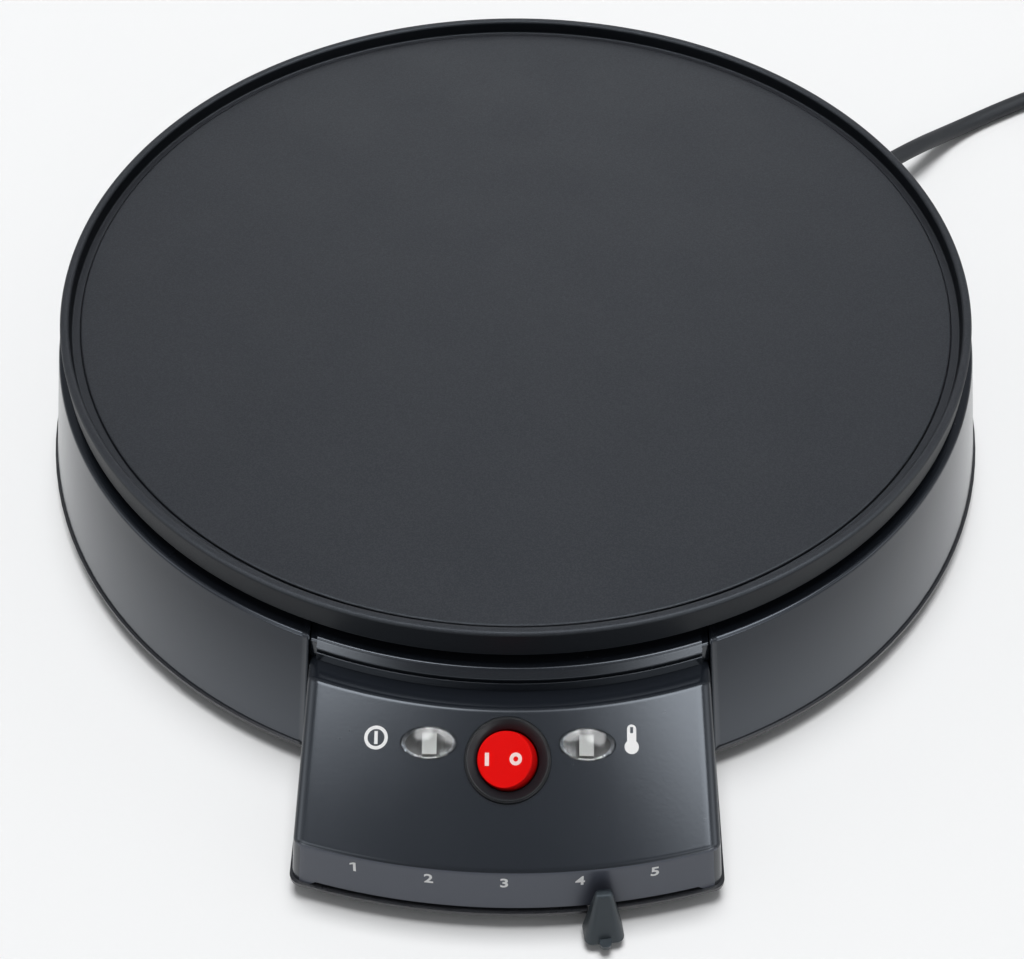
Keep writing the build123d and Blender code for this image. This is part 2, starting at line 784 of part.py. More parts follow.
# ------------------------------------------------------------------ base cover
vent_depth = cover_thickness + beyond
with BuildPart() as base_cover:
    with BuildSketch(level(cover_under)) as cover_outline:
        Circle(pod_reach + lip_proud)
        Rectangle(
            2 * (pod_half_width + lip_proud),
            pod_reach + lip_proud,
            align=(Align.CENTER, Align.MAX),
            mode=Mode.INTERSECT,
        )
        fillet(cover_outline.vertices().group_by(Axis.Y)[0], radius=lip_corner_rounding)
        Circle(lip_radius)
    extrude(amount=cover_thickness)
    chamfer(base_cover.faces().sort_by(Axis.Z)[0].edges(), length=lip_chamfer)
    # Locating ribs inside the drum wall, broken at the bosses, the inlet and the pod.
    rib_outer = drum_radius_at(floor_z + locating_rib_height) - shell_wall - seam
    for rib_start, rib_sweep in ((60, 60), (138, 82), (-40, 76)):
        with BuildSketch(upright(rib_start)):
            with Locations((rib_outer - locating_rib_width, floor_z)):
                Rectangle(locating_rib_width, locating_rib_height, align=(Align.MIN, Align.MIN))
        revolve(axis=drum_axis, revolution_arc=rib_sweep)
    # Posts that carry the hotplate.
    with BuildSketch(level(floor_z)):
        with PolarLocations(mount_pitch_radius, mount_count, start_angle=rear):
            Circle(post_radius)
    extrude(amount=post_height)
    # Boss under the middle, for the blind bearing of the lever's spindle.
    with BuildSketch(level(cover_under - pilot_boss_drop)):
        Circle(pilot_boss_radius)
    extrude(amount=pilot_boss_drop)
    with BuildSketch(level(floor_z)):
        Circle(pilot_radius + bearing_clearance)
    extrude(amount=-pilot_depth, mode=Mode.SUBTRACT)
    # Cord saddle and the two clamp posts beside it.
    with BuildSketch(level(floor_z)):
        with PolarLocations(clamp_distance, 1, start_angle=inlet_azimuth):
            Rectangle(clamp_depth, 2 * clamp_post_half_spacing)
    extrude(amount=inlet_height - cord_radius - floor_z)
    with BuildSketch(level(floor_z)):
        with PolarLocations(clamp_distance, 1, start_angle=inlet_azimuth):
            with Locations((0, -clamp_post_half_spacing), (0, clamp_post_half_spacing)):
                Circle(clamp_post_radius)
    extrude(amount=inlet_height + cord_radius - floor_z)
    clamp_top = inlet_height + cord_radius
    with BuildSketch(level(clamp_top)):
        with PolarLocations(clamp_distance, 1, start_angle=inlet_azimuth):
            with Locations((0, -clamp_post_half_spacing), (0, clamp_post_half_spacing)):
                Circle(small_screw_radius + thread_clearance)
    extrude(amount=-clamp_screw_depth, mode=Mode.SUBTRACT)
    # Screw holes: hotplate posts from below, feet and pod.
    with BuildSketch(level(cover_under)):
        with PolarLocations(mount_pitch_radius, mount_count, start_angle=rear):
            Circle(screw_head_radius + screw_clearance)
    extrude(amount=post_height / 2, mode=Mode.SUBTRACT)
    with BuildSketch(level(cover_under)):
        with PolarLocations(mount_pitch_radius, mount_count, start_angle=rear):
            Circle(screw_radius + screw_clearance)
        with Locations(*foot_spots, *pod_boss_spots):
            Circle(screw_radius + screw_clearance)
    extrude(amount=cover_thickness + post_height, mode=Mode.SUBTRACT)
    with BuildSketch(level(cover_under)):
        with PolarLocations(vent_pitch_radius, vent_count):
            SlotOverall(vent_length, vent_width)
    extrude(amount=cover_thickness, mode=Mode.SUBTRACT)
finish(base_cover, "base_cover")

# ------------------------------------------------------------------ hotplate spacers and screws
post_top = floor_z + post_height
with BuildPart() as hotplate_spacers:
    with BuildSketch(level(post_top)):
        with PolarLocations(mount_pitch_radius, mount_count, start_angle=rear):
            Circle(spacer_radius)
            Circle(spacer_bore_radius, mode=Mode.SUBTRACT)
    extrude(amount=reflector_floor - post_top)
finish(hotplate_spacers, "hotplate_spacers")

post_recess_top = cover_under + post_height / 2
with BuildPart() as hotplate_screws:
    with BuildSketch(level(post_recess_top)):
        with PolarLocations(mount_pitch_radius, mount_count, start_angle=rear):
            Circle(screw_head_radius)
    extrude(amount=-screw_head_height)
    with BuildSketch(level(post_recess_top)):
        with PolarLocations(mount_pitch_radius, mount_count, start_angle=rear):
            Circle(screw_radius)
    extrude(amount=reflector_floor + reflector_thickness + mount_thread_depth - post_recess_top)
finish(hotplate_screws, "hotplate_screws")

# ------------------------------------------------------------------ feet and housing screws
with BuildPart() as rubber_feet:
    with BuildSketch(level(0)):
        with Locations(*foot_spots):
            Circle(foot_radius)
    extrude(amount=foot_height)
    fillet(rubber_feet.edges().group_by(Axis.Z)[0], radius=foot_rounding)
    with BuildSketch(level(0)):
        with Locations(*foot_spots):
            Circle(screw_head_radius + screw_clearance)
    extrude(amount=foot_recess_depth, mode=Mode.SUBTRACT)
    with BuildSketch(level(0)):
        with Locations(*foot_spots):
            Circle(screw_radius + screw_clearance)
    extrude(amount=foot_height, mode=Mode.SUBTRACT)
finish(rubber_feet, "rubber_feet")

with BuildPart() as foot_screws:
    with BuildSketch(level(foot_recess_depth)):
        with Locations(*foot_spots):
            Circle(screw_head_radius)
    extrude(amount=-screw_head_height)
    with BuildSketch(level(foot_recess_depth)):
        with Locations(*foot_spots):
            Circle(screw_radius)
    extrude(amount=floor_z + drum_screw_depth - foot_recess_depth)
finish(foot_screws, "foot_screws")

with BuildPart() as pod_screws:
    with BuildSketch(level(cover_under)):
        with Locations(*pod_boss_spots):
            Circle(screw_head_radius)
    extrude(amount=-screw_head_height)
    with BuildSketch(level(cover_under)):
        with Locations(*pod_boss_spots):
            Circle(screw_radius)
    extrude(amount=cover_thickness + pod_screw_depth)
finish(pod_screws, "pod_screws")

# ------------------------------------------------------------------ thermostat
bracket_top = web_z - bracket_drop
bracket_under = bracket_top - bracket_thickness
with BuildPart() as thermostat_bracket:
    with BuildSketch(level(bracket_under)):
        SlotOverall(bracket_length, bracket_width)
        Circle(thermostat_neck_radius + fit_clearance, mode=Mode.SUBTRACT)
        with GridLocations(bracket_boss_spacing, 0, 2, 1):
            Circle(screw_radius + screw_clearance, mode=Mode.SUBTRACT)
    extrude(amount=bracket_thickness)
finish(thermostat_bracket, "thermostat_bracket")

with BuildPart() as thermostat_screws:
    with BuildSketch(level(bracket_under)):
        with GridLocations(bracket_boss_spacing, 0, 2, 1):
            Circle(screw_head_radius)
    extrude(amount=-screw_head_height)
    with BuildSketch(level(bracket_under)):
        with GridLocations(bracket_boss_spacing, 0, 2, 1):
            Circle(screw_radius)
    extrude(amount=bracket_thickness + mount_thread_depth - beyond)
finish(thermostat_screws, "thermostat_screws")

thermostat_under = bracket_under - thermostat_height
with BuildPart() as thermostat_body:
    with BuildSketch(level(thermostat_under)):
        Circle(thermostat_radius)
        Rectangle(2 * thermostat_radius, 2 * thermostat_flat, mode=Mode.INTERSECT)
    extrude(amount=thermostat_height)
    with BuildSketch(level(bracket_under)):
        Circle(thermostat_neck_radius)
    extrude(amount=bracket_thickness)
    with BuildSketch(level(bracket_top)):
        Circle(heat_pad_radius)
    extrude(amount=bracket_drop)
    with BuildSketch(level(thermostat_under)):
        Circle(spindle_radius + screw_clearance)
    extrude(amount=spindle_engagement + beyond, mode=Mode.SUBTRACT)
finish(thermostat_body, "thermostat_body")

with BuildPart() as thermostat_bush:
    with BuildSketch(level(thermostat_under)):
        Circle(bush_radius)
        Circle(spindle_radius + bearing_clearance, mode=Mode.SUBTRACT)
    extrude(amount=-bush_length)
finish(thermostat_bush, "thermostat_bush")

blade_z = thermostat_under + thermostat_height / 3
with BuildPart() as thermostat_terminals:
    with BuildSketch(level(blade_z)):
        with Locations((0, thermostat_flat + blade_length / 2), (0, -thermostat_flat - blade_length / 2)):
            Rectangle(blade_width, blade_length)
    extrude(amount=blade_thickness)
finish(thermostat_terminals, "thermostat_terminals")

fuse_z = bracket_under - fuse_radius
with BuildPart() as thermal_fuse:
    with BuildSketch(upright(0).offset(-fuse_length / 2)):
        with Locations((fuse_offset, fuse_z)):
            Circle(fuse_radius)
    extrude(amount=fuse_length)
finish(thermal_fuse, "thermal_fuse")

# Saddle clip under the fuse, with a foot on the bracket on either side.
clip_inner = fuse_radius + thread_clearance
clip_outer = clip_inner + clip_thickness
with BuildPart() as fuse_clip:
    with BuildSketch(upright(0).offset(-clip_width / 2)):
        with Locations((fuse_offset, fuse_z)):
            Circle(clip_outer)
            Rectangle(2 * clip_outer, fuse_radius, align=(Align.CENTER, Align.MIN))
            Circle(clip_inner, mode=Mode.SUBTRACT)
            Rectangle(2 * clip_inner, fuse_radius + beyond, align=(Align.CENTER, Align.MIN), mode=Mode.SUBTRACT)
        with Locations((fuse_offset, bracket_under)):
            Rectangle(2 * clip_outer, beyond, align=(Align.CENTER, Align.MIN), mode=Mode.SUBTRACT)
    extrude(amount=clip_width)
finish(fuse_clip, "fuse_clip")

# ------------------------------------------------------------------ temperature lever
lever_azimuth = front + lever_rest_angle


def lever_level(height):
    """Horizontal plane on the drum axis whose local x runs along the lever."""
    turn = math.radians(lever_azimuth)
    return Plane(origin=(0, axis_y, height), x_dir=(math.cos(turn), math.sin(turn), 0))


arm_z = floor_z + (slot_height - arm_thickness) / 2
arm_top = arm_z + arm_thickness
with BuildPart() as thermostat_spindle:
    with BuildSketch(level(arm_top)):
        Circle(spindle_collar_radius)
    extrude(amount=spindle_collar_height)
    with BuildSketch(level(arm_top)):
        Circle(spindle_radius)
    extrude(amount=thermostat_under + spindle_engagement - arm_top)
    with BuildSketch(level(arm_top)):
        Circle(pilot_radius)
    extrude(amount=-(arm_top - floor_z + pilot_depth - fit_clearance))
finish(thermostat_spindle, "thermostat_spindle")

with BuildPart() as lever_arm:
    with BuildSketch(lever_level(arm_z)) as arm_outline:
        with BuildLine():
            Polyline(
                (0, -arm_hub_radius),
                (arm_taper_length, -arm_width / 2),
                (arm_reach, -arm_width / 2),
                (arm_reach, arm_width / 2),
                (arm_taper_length, arm_width / 2),
                (0, arm_hub_radius),
                close=True,
            )
        make_face()
        Circle(arm_hub_radius)
        Circle(pilot_radius + thread_clearance, mode=Mode.SUBTRACT)
    extrude(amount=arm_thickness)
finish(lever_arm, "lever_arm")

with BuildPart() as lever_knob:
    with BuildSketch(lever_level(knob_bottom_height)):
        with Locations((knob_back + knob_foot_depth / 2, 0)):
            RectangleRounded(knob_foot_depth, knob_foot_width, knob_corner)
    with BuildSketch(lever_level(knob_bottom_height + knob_height)):
        with Locations((knob_back + knob_top_depth / 2, 0)):
            RectangleRounded(knob_top_depth, knob_top_width, knob_top_corner)
    loft()
    fillet(lever_knob.edges().group_by(Axis.Z)[-1], radius=knob_top_rounding)
    with BuildSketch(lever_level(knob_bottom_height)):
        with Locations((knob_front, 0)):
            RectangleRounded(
                knob_nub_depth + knob_foot_depth / 2,
                knob_nub_width,
                knob_nub_corner,
                align=(Align.MAX, Align.CENTER),
            )
    extrude(amount=knob_nub_height)
    with BuildSketch(lever_level(arm_z - thread_clearance)):
        with Locations((knob_back - beyond, 0)):
            Rectangle(
                arm_reach - knob_back + beyond + thread_clearance,
                arm_width + 2 * thread_clearance,
                align=(Align.MIN, Align.CENTER),
            )
    extrude(amount=arm_thickness + 2 * thread_clearance, mode=Mode.SUBTRACT)
finish(lever_knob, "lever_knob")

# ------------------------------------------------------------------ rocker switch
well_radius = rocker_radius + rocker_clearance
trunnion_reach = well_radius + trunnion_engagement
pivot = switch_plane.from_local_coords((0, 0, -rocker_pivot_depth))
with BuildPart() as switch_body:
    with BuildSketch(switch_plane.offset(-switch_dish_depth)):
        Circle(switch_bezel_radius)
    extrude(amount=switch_dish_depth + switch_bezel_height)
    fillet(switch_body.faces().sort_by(Axis(pivot, switch_plane.z_dir))[-1].edges(), radius=bezel_rounding)
    with BuildSketch(switch_plane.offset(-switch_dish_depth)):
        Circle(switch_barrel_radius)
    extrude(amount=switch_dish_depth - switch_barrel_depth)
    with BuildSketch(switch_plane.offset(switch_bezel_height)):
        Circle(well_radius)
    extrude(amount=-switch_bezel_height - switch_well_depth, mode=Mode.SUBTRACT)
    # The mouth of the well slopes inwards to the rocker.
    with BuildSketch(switch_plane.offset(switch_bezel_height)):
        Circle(well_radius + bezel_mouth_width)
    with BuildSketch(switch_plane.offset(switch_bezel_height - bezel_mouth_depth)):
        Circle(well_radius)
    loft(mode=Mode.SUBTRACT)
    with BuildSketch(Plane(origin=pivot, x_dir=switch_plane.x_dir, z_dir=switch_plane.y_dir)):
        Circle(trunnion_radius + bearing_clearance)
    extrude(amount=trunnion_reach, both=True, mode=Mode.SUBTRACT)
finish(switch_body, "switch_body")

# The rocker rests switched on, with its left side down.
tilt = math.radians(rocker_tilt)
rocker_plane = Plane(
    origin=pivot,
    x_dir=switch_plane.x_dir * math.cos(tilt) + switch_plane.z_dir * math.sin(tilt),
    z_dir=switch_plane.z_dir * math.cos(tilt) - switch_plane.x_dir * math.sin(tilt),
)
shoulder_reach = math.sqrt(rocker_radius**2 - rocker_shoulder**2)
keel_reach = math.sqrt(rocker_radius**2 - rocker_keel**2)
with BuildPart() as rocker_button:
    rocker_section = Plane(origin=pivot, x_dir=rocker_plane.x_dir, z_dir=-rocker_plane.y_dir)
    with BuildSketch(rocker_section):
        with BuildLine():
            ThreePointArc((keel_reach, -rocker_keel), (rocker_radius, 0), (shoulder_reach, rocker_shoulder))
            Polyline(
                (shoulder_reach, rocker_shoulder),
                (rocker_crown_radius, rocker_crown),
                (0, rocker_crown),
                (0, -rocker_keel),
                (keel_reach, -rocker_keel),
            )
        make_face()
    revolve(axis=Axis(pivot, rocker_plane.z_dir))
    crown_face = rocker_button.faces().sort_by(Axis(pivot, rocker_plane.z_dir))[-1]
    fillet(crown_face.edges(), radius=rocker_rounding)
    # Shallow hollow across the top, for the fingertip.
    hollow_axis = rocker_plane.from_local_coords((0, 0, rocker_crown + rocker_dish_radius - rocker_dish_depth))
    with BuildSketch(Plane(origin=hollow_axis, x_dir=rocker_plane.x_dir, z_dir=rocker_plane.y_dir)):
        Circle(rocker_dish_radius)
    extrude(amount=rocker_radius, both=True, mode=Mode.SUBTRACT)
    with BuildSketch(Plane(origin=pivot, x_dir=rocker_plane.x_dir, z_dir=rocker_plane.y_dir)):
        Circle(trunnion_radius)
    extrude(amount=trunnion_reach - fit_clearance, both=True)
finish(rocker_button, "rocker_button")

with BuildPart() as switch_terminals:
    with BuildSketch(switch_plane.offset(-switch_barrel_depth)):
        with GridLocations(switch_blade_pitch, 0, 3, 1):
            Rectangle(blade_thickness, switch_blade_width)
    extrude(amount=-switch_blade_length)
finish(switch_terminals, "switch_terminals")

# ------------------------------------------------------------------ indicator lenses and lamps
for lens_name, lens_plane in lens_planes.items():
    with BuildPart() as lens:
        with BuildSketch(lens_plane.offset(-lens_seat_depth)):
            Ellipse(lens_length / 2, lens_width / 2)
        extrude(amount=lens_seat_depth + lens_crown)
        with BuildSketch(lens_plane.offset(-lens_seat_depth)):
            Ellipse(lens_neck_length / 2, lens_neck_width / 2)
        extrude(amount=lens_seat_depth - lens_neck_depth)
        dome_centre = lens_plane.offset(lens_crown - lens_dome_radius)
        add(dome_centre.location * Sphere(lens_dome_radius, mode=Mode.PRIVATE), mode=Mode.INTERSECT)
        with BuildSketch(lens_plane.offset(-lens_neck_depth)):
            Rectangle(lamp_width + 2 * fit_clearance, lamp_breadth + 2 * fit_clearance)
        extrude(amount=lamp_socket_depth, mode=Mode.SUBTRACT)
    finish(lens, lens_name)

lamp_top = lamp_socket_depth - lens_neck_depth - fit_clearance
with BuildPart() as indicator_lamps:
    for lens_plane in lens_planes.values():
        with BuildSketch(lens_plane.offset(lamp_top)):
            Rectangle(lamp_width, lamp_breadth)
        extrude(amount=-lamp_length)
finish(indicator_lamps, "indicator_lamps")

# ------------------------------------------------------------------ mains inlet
block_bore_drop = floor_z + block_bore_height - inlet_height
with BuildPart() as terminal_block:
    with BuildSketch(level(floor_z)):
        with PolarLocations(block_distance, 1, start_angle=inlet_azimuth):
            RectangleRounded(block_depth, block_width, block_rounding)
    extrude(amount=block_height)
    with BuildSketch(inlet_section(block_distance - block_depth / 2 - beyond)):
        with Locations(*[(block_bore_drop, side * block_pitch) for side in (-1, 0, 1)]):
            Circle(block_bore_radius)
    extrude(amount=block_lead_depth + beyond, mode=Mode.SUBTRACT)
    with BuildSketch(inlet_section(block_distance + block_depth / 2 + beyond)):
        with Locations(*[(block_bore_drop, side * block_pitch) for side in (-1, 0, 1)]):
            Circle(block_bore_radius)
    extrude(amount=-block_lead_depth - beyond, mode=Mode.SUBTRACT)
    with BuildSketch(level(floor_z + block_height)):
        with PolarLocations(block_distance, 1, start_angle=inlet_azimuth):
            with GridLocations(0, block_pitch, 1, 3):
                Circle(block_screw_radius + thread_clearance)
    extrude(amount=-block_screw_height, mode=Mode.SUBTRACT)
finish(terminal_block, "terminal_block")

with BuildPart() as terminal_screws:
    with BuildSketch(level(floor_z + block_height)):
        with PolarLocations(block_distance, 1, start_angle=inlet_azimuth):
            with GridLocations(0, block_pitch, 1, 3):
                Circle(block_screw_radius)
    extrude(amount=-block_screw_height)
finish(terminal_screws, "terminal_screws")

with BuildPart() as cord_clamp:
    with BuildSketch(level(clamp_top)):
        with PolarLocations(clamp_distance, 1, start_angle=inlet_azimuth):
            RectangleRounded(clamp_depth, clamp_width, clamp_depth / 4)
            with GridLocations(0, 2 * clamp_post_half_spacing, 1, 2):
                Circle(small_screw_radius + screw_clearance, mode=Mode.SUBTRACT)
    extrude(amount=clamp_thickness)
finish(cord_clamp, "cord_clamp")

with BuildPart() as cord_clamp_screws:
    with BuildSketch(level(clamp_top + clamp_thickness)):
        with PolarLocations(clamp_distance, 1, start_angle=inlet_azimuth):
            with GridLocations(0, 2 * clamp_post_half_spacing, 1, 2):
                Circle(small_head_radius)
    extrude(amount=small_head_height)
    with BuildSketch(level(clamp_top + clamp_thickness)):
        with PolarLocations(clamp_distance, 1, start_angle=inlet_azimuth):
            with GridLocations(0, 2 * clamp_post_half_spacing, 1, 2):
                Circle(small_screw_radius)
    extrude(amount=-clamp_thickness - clamp_screw_depth + beyond)
finish(cord_clamp_screws, "cord_clamp_screws")

gland_inner_end = gland_pad_back - gland_collar_thickness
with BuildPart() as cord_inner_end:
    with BuildSketch(inlet_section(sheath_end_distance)):
        Circle(cord_radius)
    extrude(amount=gland_inner_end - sheath_end_distance)
finish(cord_inner_end, "cord_inner_end")

# Strain relief: a collar each side of the wall, and a ringed, tapered tail.
gland_tail_start = gland_pad_face + gland_flange_thickness
gland_tail_end = gland_tail_start + gland_tail_length
ring_pitch = gland_tail_length / (gland_ring_count + 1)
inlet_axis = Axis(inlet_plane.origin, inlet_plane.z_dir)
with BuildPart() as strain_relief:
    with BuildSketch(upright(inlet_azimuth)):
        with BuildLine():
            Polyline(
                (gland_inner_end, inlet_height),
                (gland_inner_end, inlet_height + gland_flange_radius),
                (gland_pad_back, inlet_height + gland_flange_radius),
                (gland_pad_back, inlet_height + gland_neck_radius),
                (gland_pad_face, inlet_height + gland_neck_radius),
                (gland_pad_face, inlet_height + gland_flange_radius),
                (gland_tail_start, inlet_height + gland_flange_radius),
                (gland_tail_start, inlet_height + gland_tail_root_radius),
                (gland_tail_end, inlet_height + gland_tail_tip_radius),
                (gland_tail_end, inlet_height),
                close=True,
            )
        make_face()
        for ring in range(1, gland_ring_count + 1):
            taper = (gland_tail_root_radius - gland_tail_tip_radius) * ring / (gland_ring_count + 1)
            with Locations((gland_tail_start + ring * ring_pitch, inlet_height + gland_tail_root_radius - taper)):
                Rectangle(gland_ring_width, 2 * gland_ring_depth, mode=Mode.SUBTRACT)
    revolve(axis=inlet_axis)
finish(strain_relief, "strain_relief")

# ------------------------------------------------------------------ mains cord
def tube_along(points, radius, share=0.45, label=None):
    """Round tube on straight runs joined by arcs as large as the runs allow."""
    corners = [Vector(*point) for point in points]
    bends = []
    for before, corner, after in zip(corners, corners[1:], corners[2:]):
        turn = math.radians((corner - before).get_angle(after - corner))
        shorter = min((corner - before).length, (after - corner).length)
        bends.append(share * shorter / math.tan(turn / 2))
    with BuildLine() as route:
        FilletPolyline(*corners, radius=bends)
    path = route.wire()
    with BuildPart() as tube:
        with BuildSketch(Plane(origin=path @ 0, z_dir=path % 0)):
            Circle(radius)
        sweep(path=path)
    if label:
        print(label, "bend radii", [round(bend, 1) for bend in bends])
        swept = math.pi * radius**2 * path.length
        print(label, "length", round(path.length, 1), "volume ratio", round(tube.part.volume / swept, 4))
    return tube.part


inlet_out = inlet_plane.z_dir
cord_start = inlet_plane.origin + inlet_out * gland_tail_end
cord_rise = inlet_plane.origin + inlet_out * (gland_tail_end + cord_level_run)
cord_route = [
    tuple(cord_start),
    tuple(cord_rise),
    (187.5, 194.5, 3.5),
    (217.5, 214.5, 3.5),
    (240.5, 227.0, 3.5),
    (256.0, 234.5, 4.0),
]
coil_centre = (283.9, 206.2)
plug_route = [
    (320.9, 206.2, 11.1),
    (321.4, 185.0, 11.1),
    (320.0, 163.0, 3.6),
    (316.0, 140.0, 3.6),
    (311.5, 119.0, 9.5),
    (311.5, 101.0, 9.5),
]
plug_entry = (311.5, 85.0)

with BuildPart() as power_cord:
    add(tube_along(cord_route, cord_radius, label="power cord"))
finish(power_cord, "power_cord")

with BuildPart() as plug_lead:
    add(tube_along(plug_route, cord_radius, label="plug lead"))
finish(plug_lead, "plug_lead")

# The rest of the cord is put away as a round coil, two turns wide and two turns high.
coil_height = coil_layers * 2 * cord_radius
coil_upright = Plane(origin=(*coil_centre, 0), x_dir=(1, 0, 0), z_dir=(0, -1, 0))
coil_axis = Axis((*coil_centre, 0), (0, 0, 1))
with BuildPart() as cord_coil:
    with BuildSketch(coil_upright):
        with Locations((coil_mean_radius, coil_lift + coil_height / 2)):
            RectangleRounded(coil_height, coil_height, cord_radius)
    revolve(axis=coil_axis)
finish(cord_coil, "cord_coil")

tie_inner = coil_height + 2 * tie_clearance
tie_outer = tie_inner + 2 * tie_thickness
tie_angle = math.degrees(tie_width / coil_mean_radius)
tie_turn = math.radians(tie_azimuth)
with BuildPart() as cord_tie:
    tie_plane = Plane(
        origin=(*coil_centre, 0),
        x_dir=(math.cos(tie_turn), math.sin(tie_turn), 0),
        z_dir=(math.sin(tie_turn), -math.cos(tie_turn), 0),
    )
    with BuildSketch(tie_plane):
        with Locations((coil_mean_radius, coil_lift + coil_height / 2)):
            RectangleRounded(tie_outer, tie_outer, cord_radius + tie_thickness)
            RectangleRounded(tie_inner, tie_inner, cord_radius, mode=Mode.SUBTRACT)
    revolve(axis=coil_axis, revolution_arc=tie_angle)
finish(cord_tie, "cord_tie")

# ------------------------------------------------------------------ mains plug, pins up
plug_axis_height = plug_height / 2
plug_top = Plane(origin=(*plug_entry, plug_height))
live_pin_spots = [(-pin_spacing / 2, -pin_setback), (pin_spacing / 2, -pin_setback)]
earth_pin_spot = (0, -pin_setback - pin_spacing)
with BuildPart() as plug_body:
    with BuildSketch(Plane(origin=(*plug_entry, 0))) as plug_outline:
        with BuildLine():
            Polyline(
                (-plug_neck_width / 2, 0),
                (plug_neck_width / 2, 0),
                (plug_width / 2, -plug_shoulder),
                (plug_width / 2, -plug_length),
                (-plug_width / 2, -plug_length),
                (-plug_width / 2, -plug_shoulder),
                close=True,
            )
        make_face()
        fillet(plug_outline.vertices(), radius=plug_rounding)
    extrude(amount=plug_height)
    fillet(plug_body.edges().group_by(Axis.Z)[0], radius=plug_rounding)
    fillet(plug_body.edges().group_by(Axis.Z)[-1], radius=plug_rounding / 3)
    sleeve_plane = Plane(origin=(*plug_entry, plug_axis_height), x_dir=(1, 0, 0), z_dir=(0, 1, 0))
    with BuildSketch(sleeve_plane.offset(-beyond)):
        Circle(plug_sleeve_root_radius)
    with BuildSketch(sleeve_plane.offset(plug_sleeve_length)):
        Circle(plug_sleeve_tip_radius)
    loft()
    with BuildSketch(plug_top):
        with Locations(*live_pin_spots):
            Rectangle(live_pin_width + 2 * pin_clearance, pin_thickness + 2 * pin_clearance)
        with Locations(earth_pin_spot):
            Rectangle(pin_thickness + 2 * pin_clearance, earth_pin_width + 2 * pin_clearance)
    extrude(amount=-pin_root_depth, mode=Mode.SUBTRACT)
    with BuildSketch(plug_top):
        with Locations((0, -fuse_carrier_setback - fuse_carrier_length / 2)):
            Rectangle(fuse_carrier_width + 2 * pin_clearance, fuse_carrier_length + 2 * pin_clearance)
    extrude(amount=-fuse_carrier_depth, mode=Mode.SUBTRACT)
finish(plug_body, "plug_body")

with BuildPart() as plug_pins:
    with BuildSketch(plug_top.offset(-pin_root_depth)):
        with Locations(*live_pin_spots):
            Rectangle(live_pin_width, pin_thickness)
    extrude(amount=pin_root_depth + pin_length)
    with BuildSketch(plug_top.offset(-pin_root_depth)):
        with Locations(earth_pin_spot):
            Rectangle(pin_thickness, earth_pin_width)
    extrude(amount=pin_root_depth + earth_pin_length)
    chamfer(plug_pins.faces().group_by(Axis.Z)[-1].edges(), length=pin_chamfer)
finish(plug_pins, "plug_pins")

with BuildPart() as plug_fuse_carrier:
    with BuildSketch(plug_top.offset(-fuse_carrier_depth)):
        with Locations((0, -fuse_carrier_setback - fuse_carrier_length / 2)):
            Rectangle(fuse_carrier_width, fuse_carrier_length)
    extrude(amount=fuse_carrier_depth + fuse_carrier_proud)
finish(plug_fuse_carrier, "plug_fuse_carrier")

# ------------------------------------------------------------------ earth screw and internal leads
earth_face = web_z - earth_boss_depth
with BuildPart() as earth_screw:
    with BuildSketch(level(earth_face)):
        with Locations(spot(earth_screw_distance, earth_screw_azimuth)):
            Circle(screw_head_radius)
    extrude(amount=-screw_head_height)
    with BuildSketch(level(earth_face)):
        with Locations(spot(earth_screw_distance, earth_screw_azimuth)):
            Circle(screw_radius)
    extrude(amount=mount_thread_depth - 2 * beyond)
finish(earth_screw, "earth_screw")


def inlet_point(distance, sideways, height):
    """Point by its distance along the inlet, its offset to the side and its height."""
    turn = math.radians(inlet_azimuth)
    return (
        distance * math.cos(turn) - sideways * math.sin(turn),
        axis_y + distance * math.sin(turn) + sideways * math.cos(turn),
        height,
    )


def from_axis(x, y, height):
    """Point by its offset from the drum axis and its height."""
    return (x, axis_y + y, height)


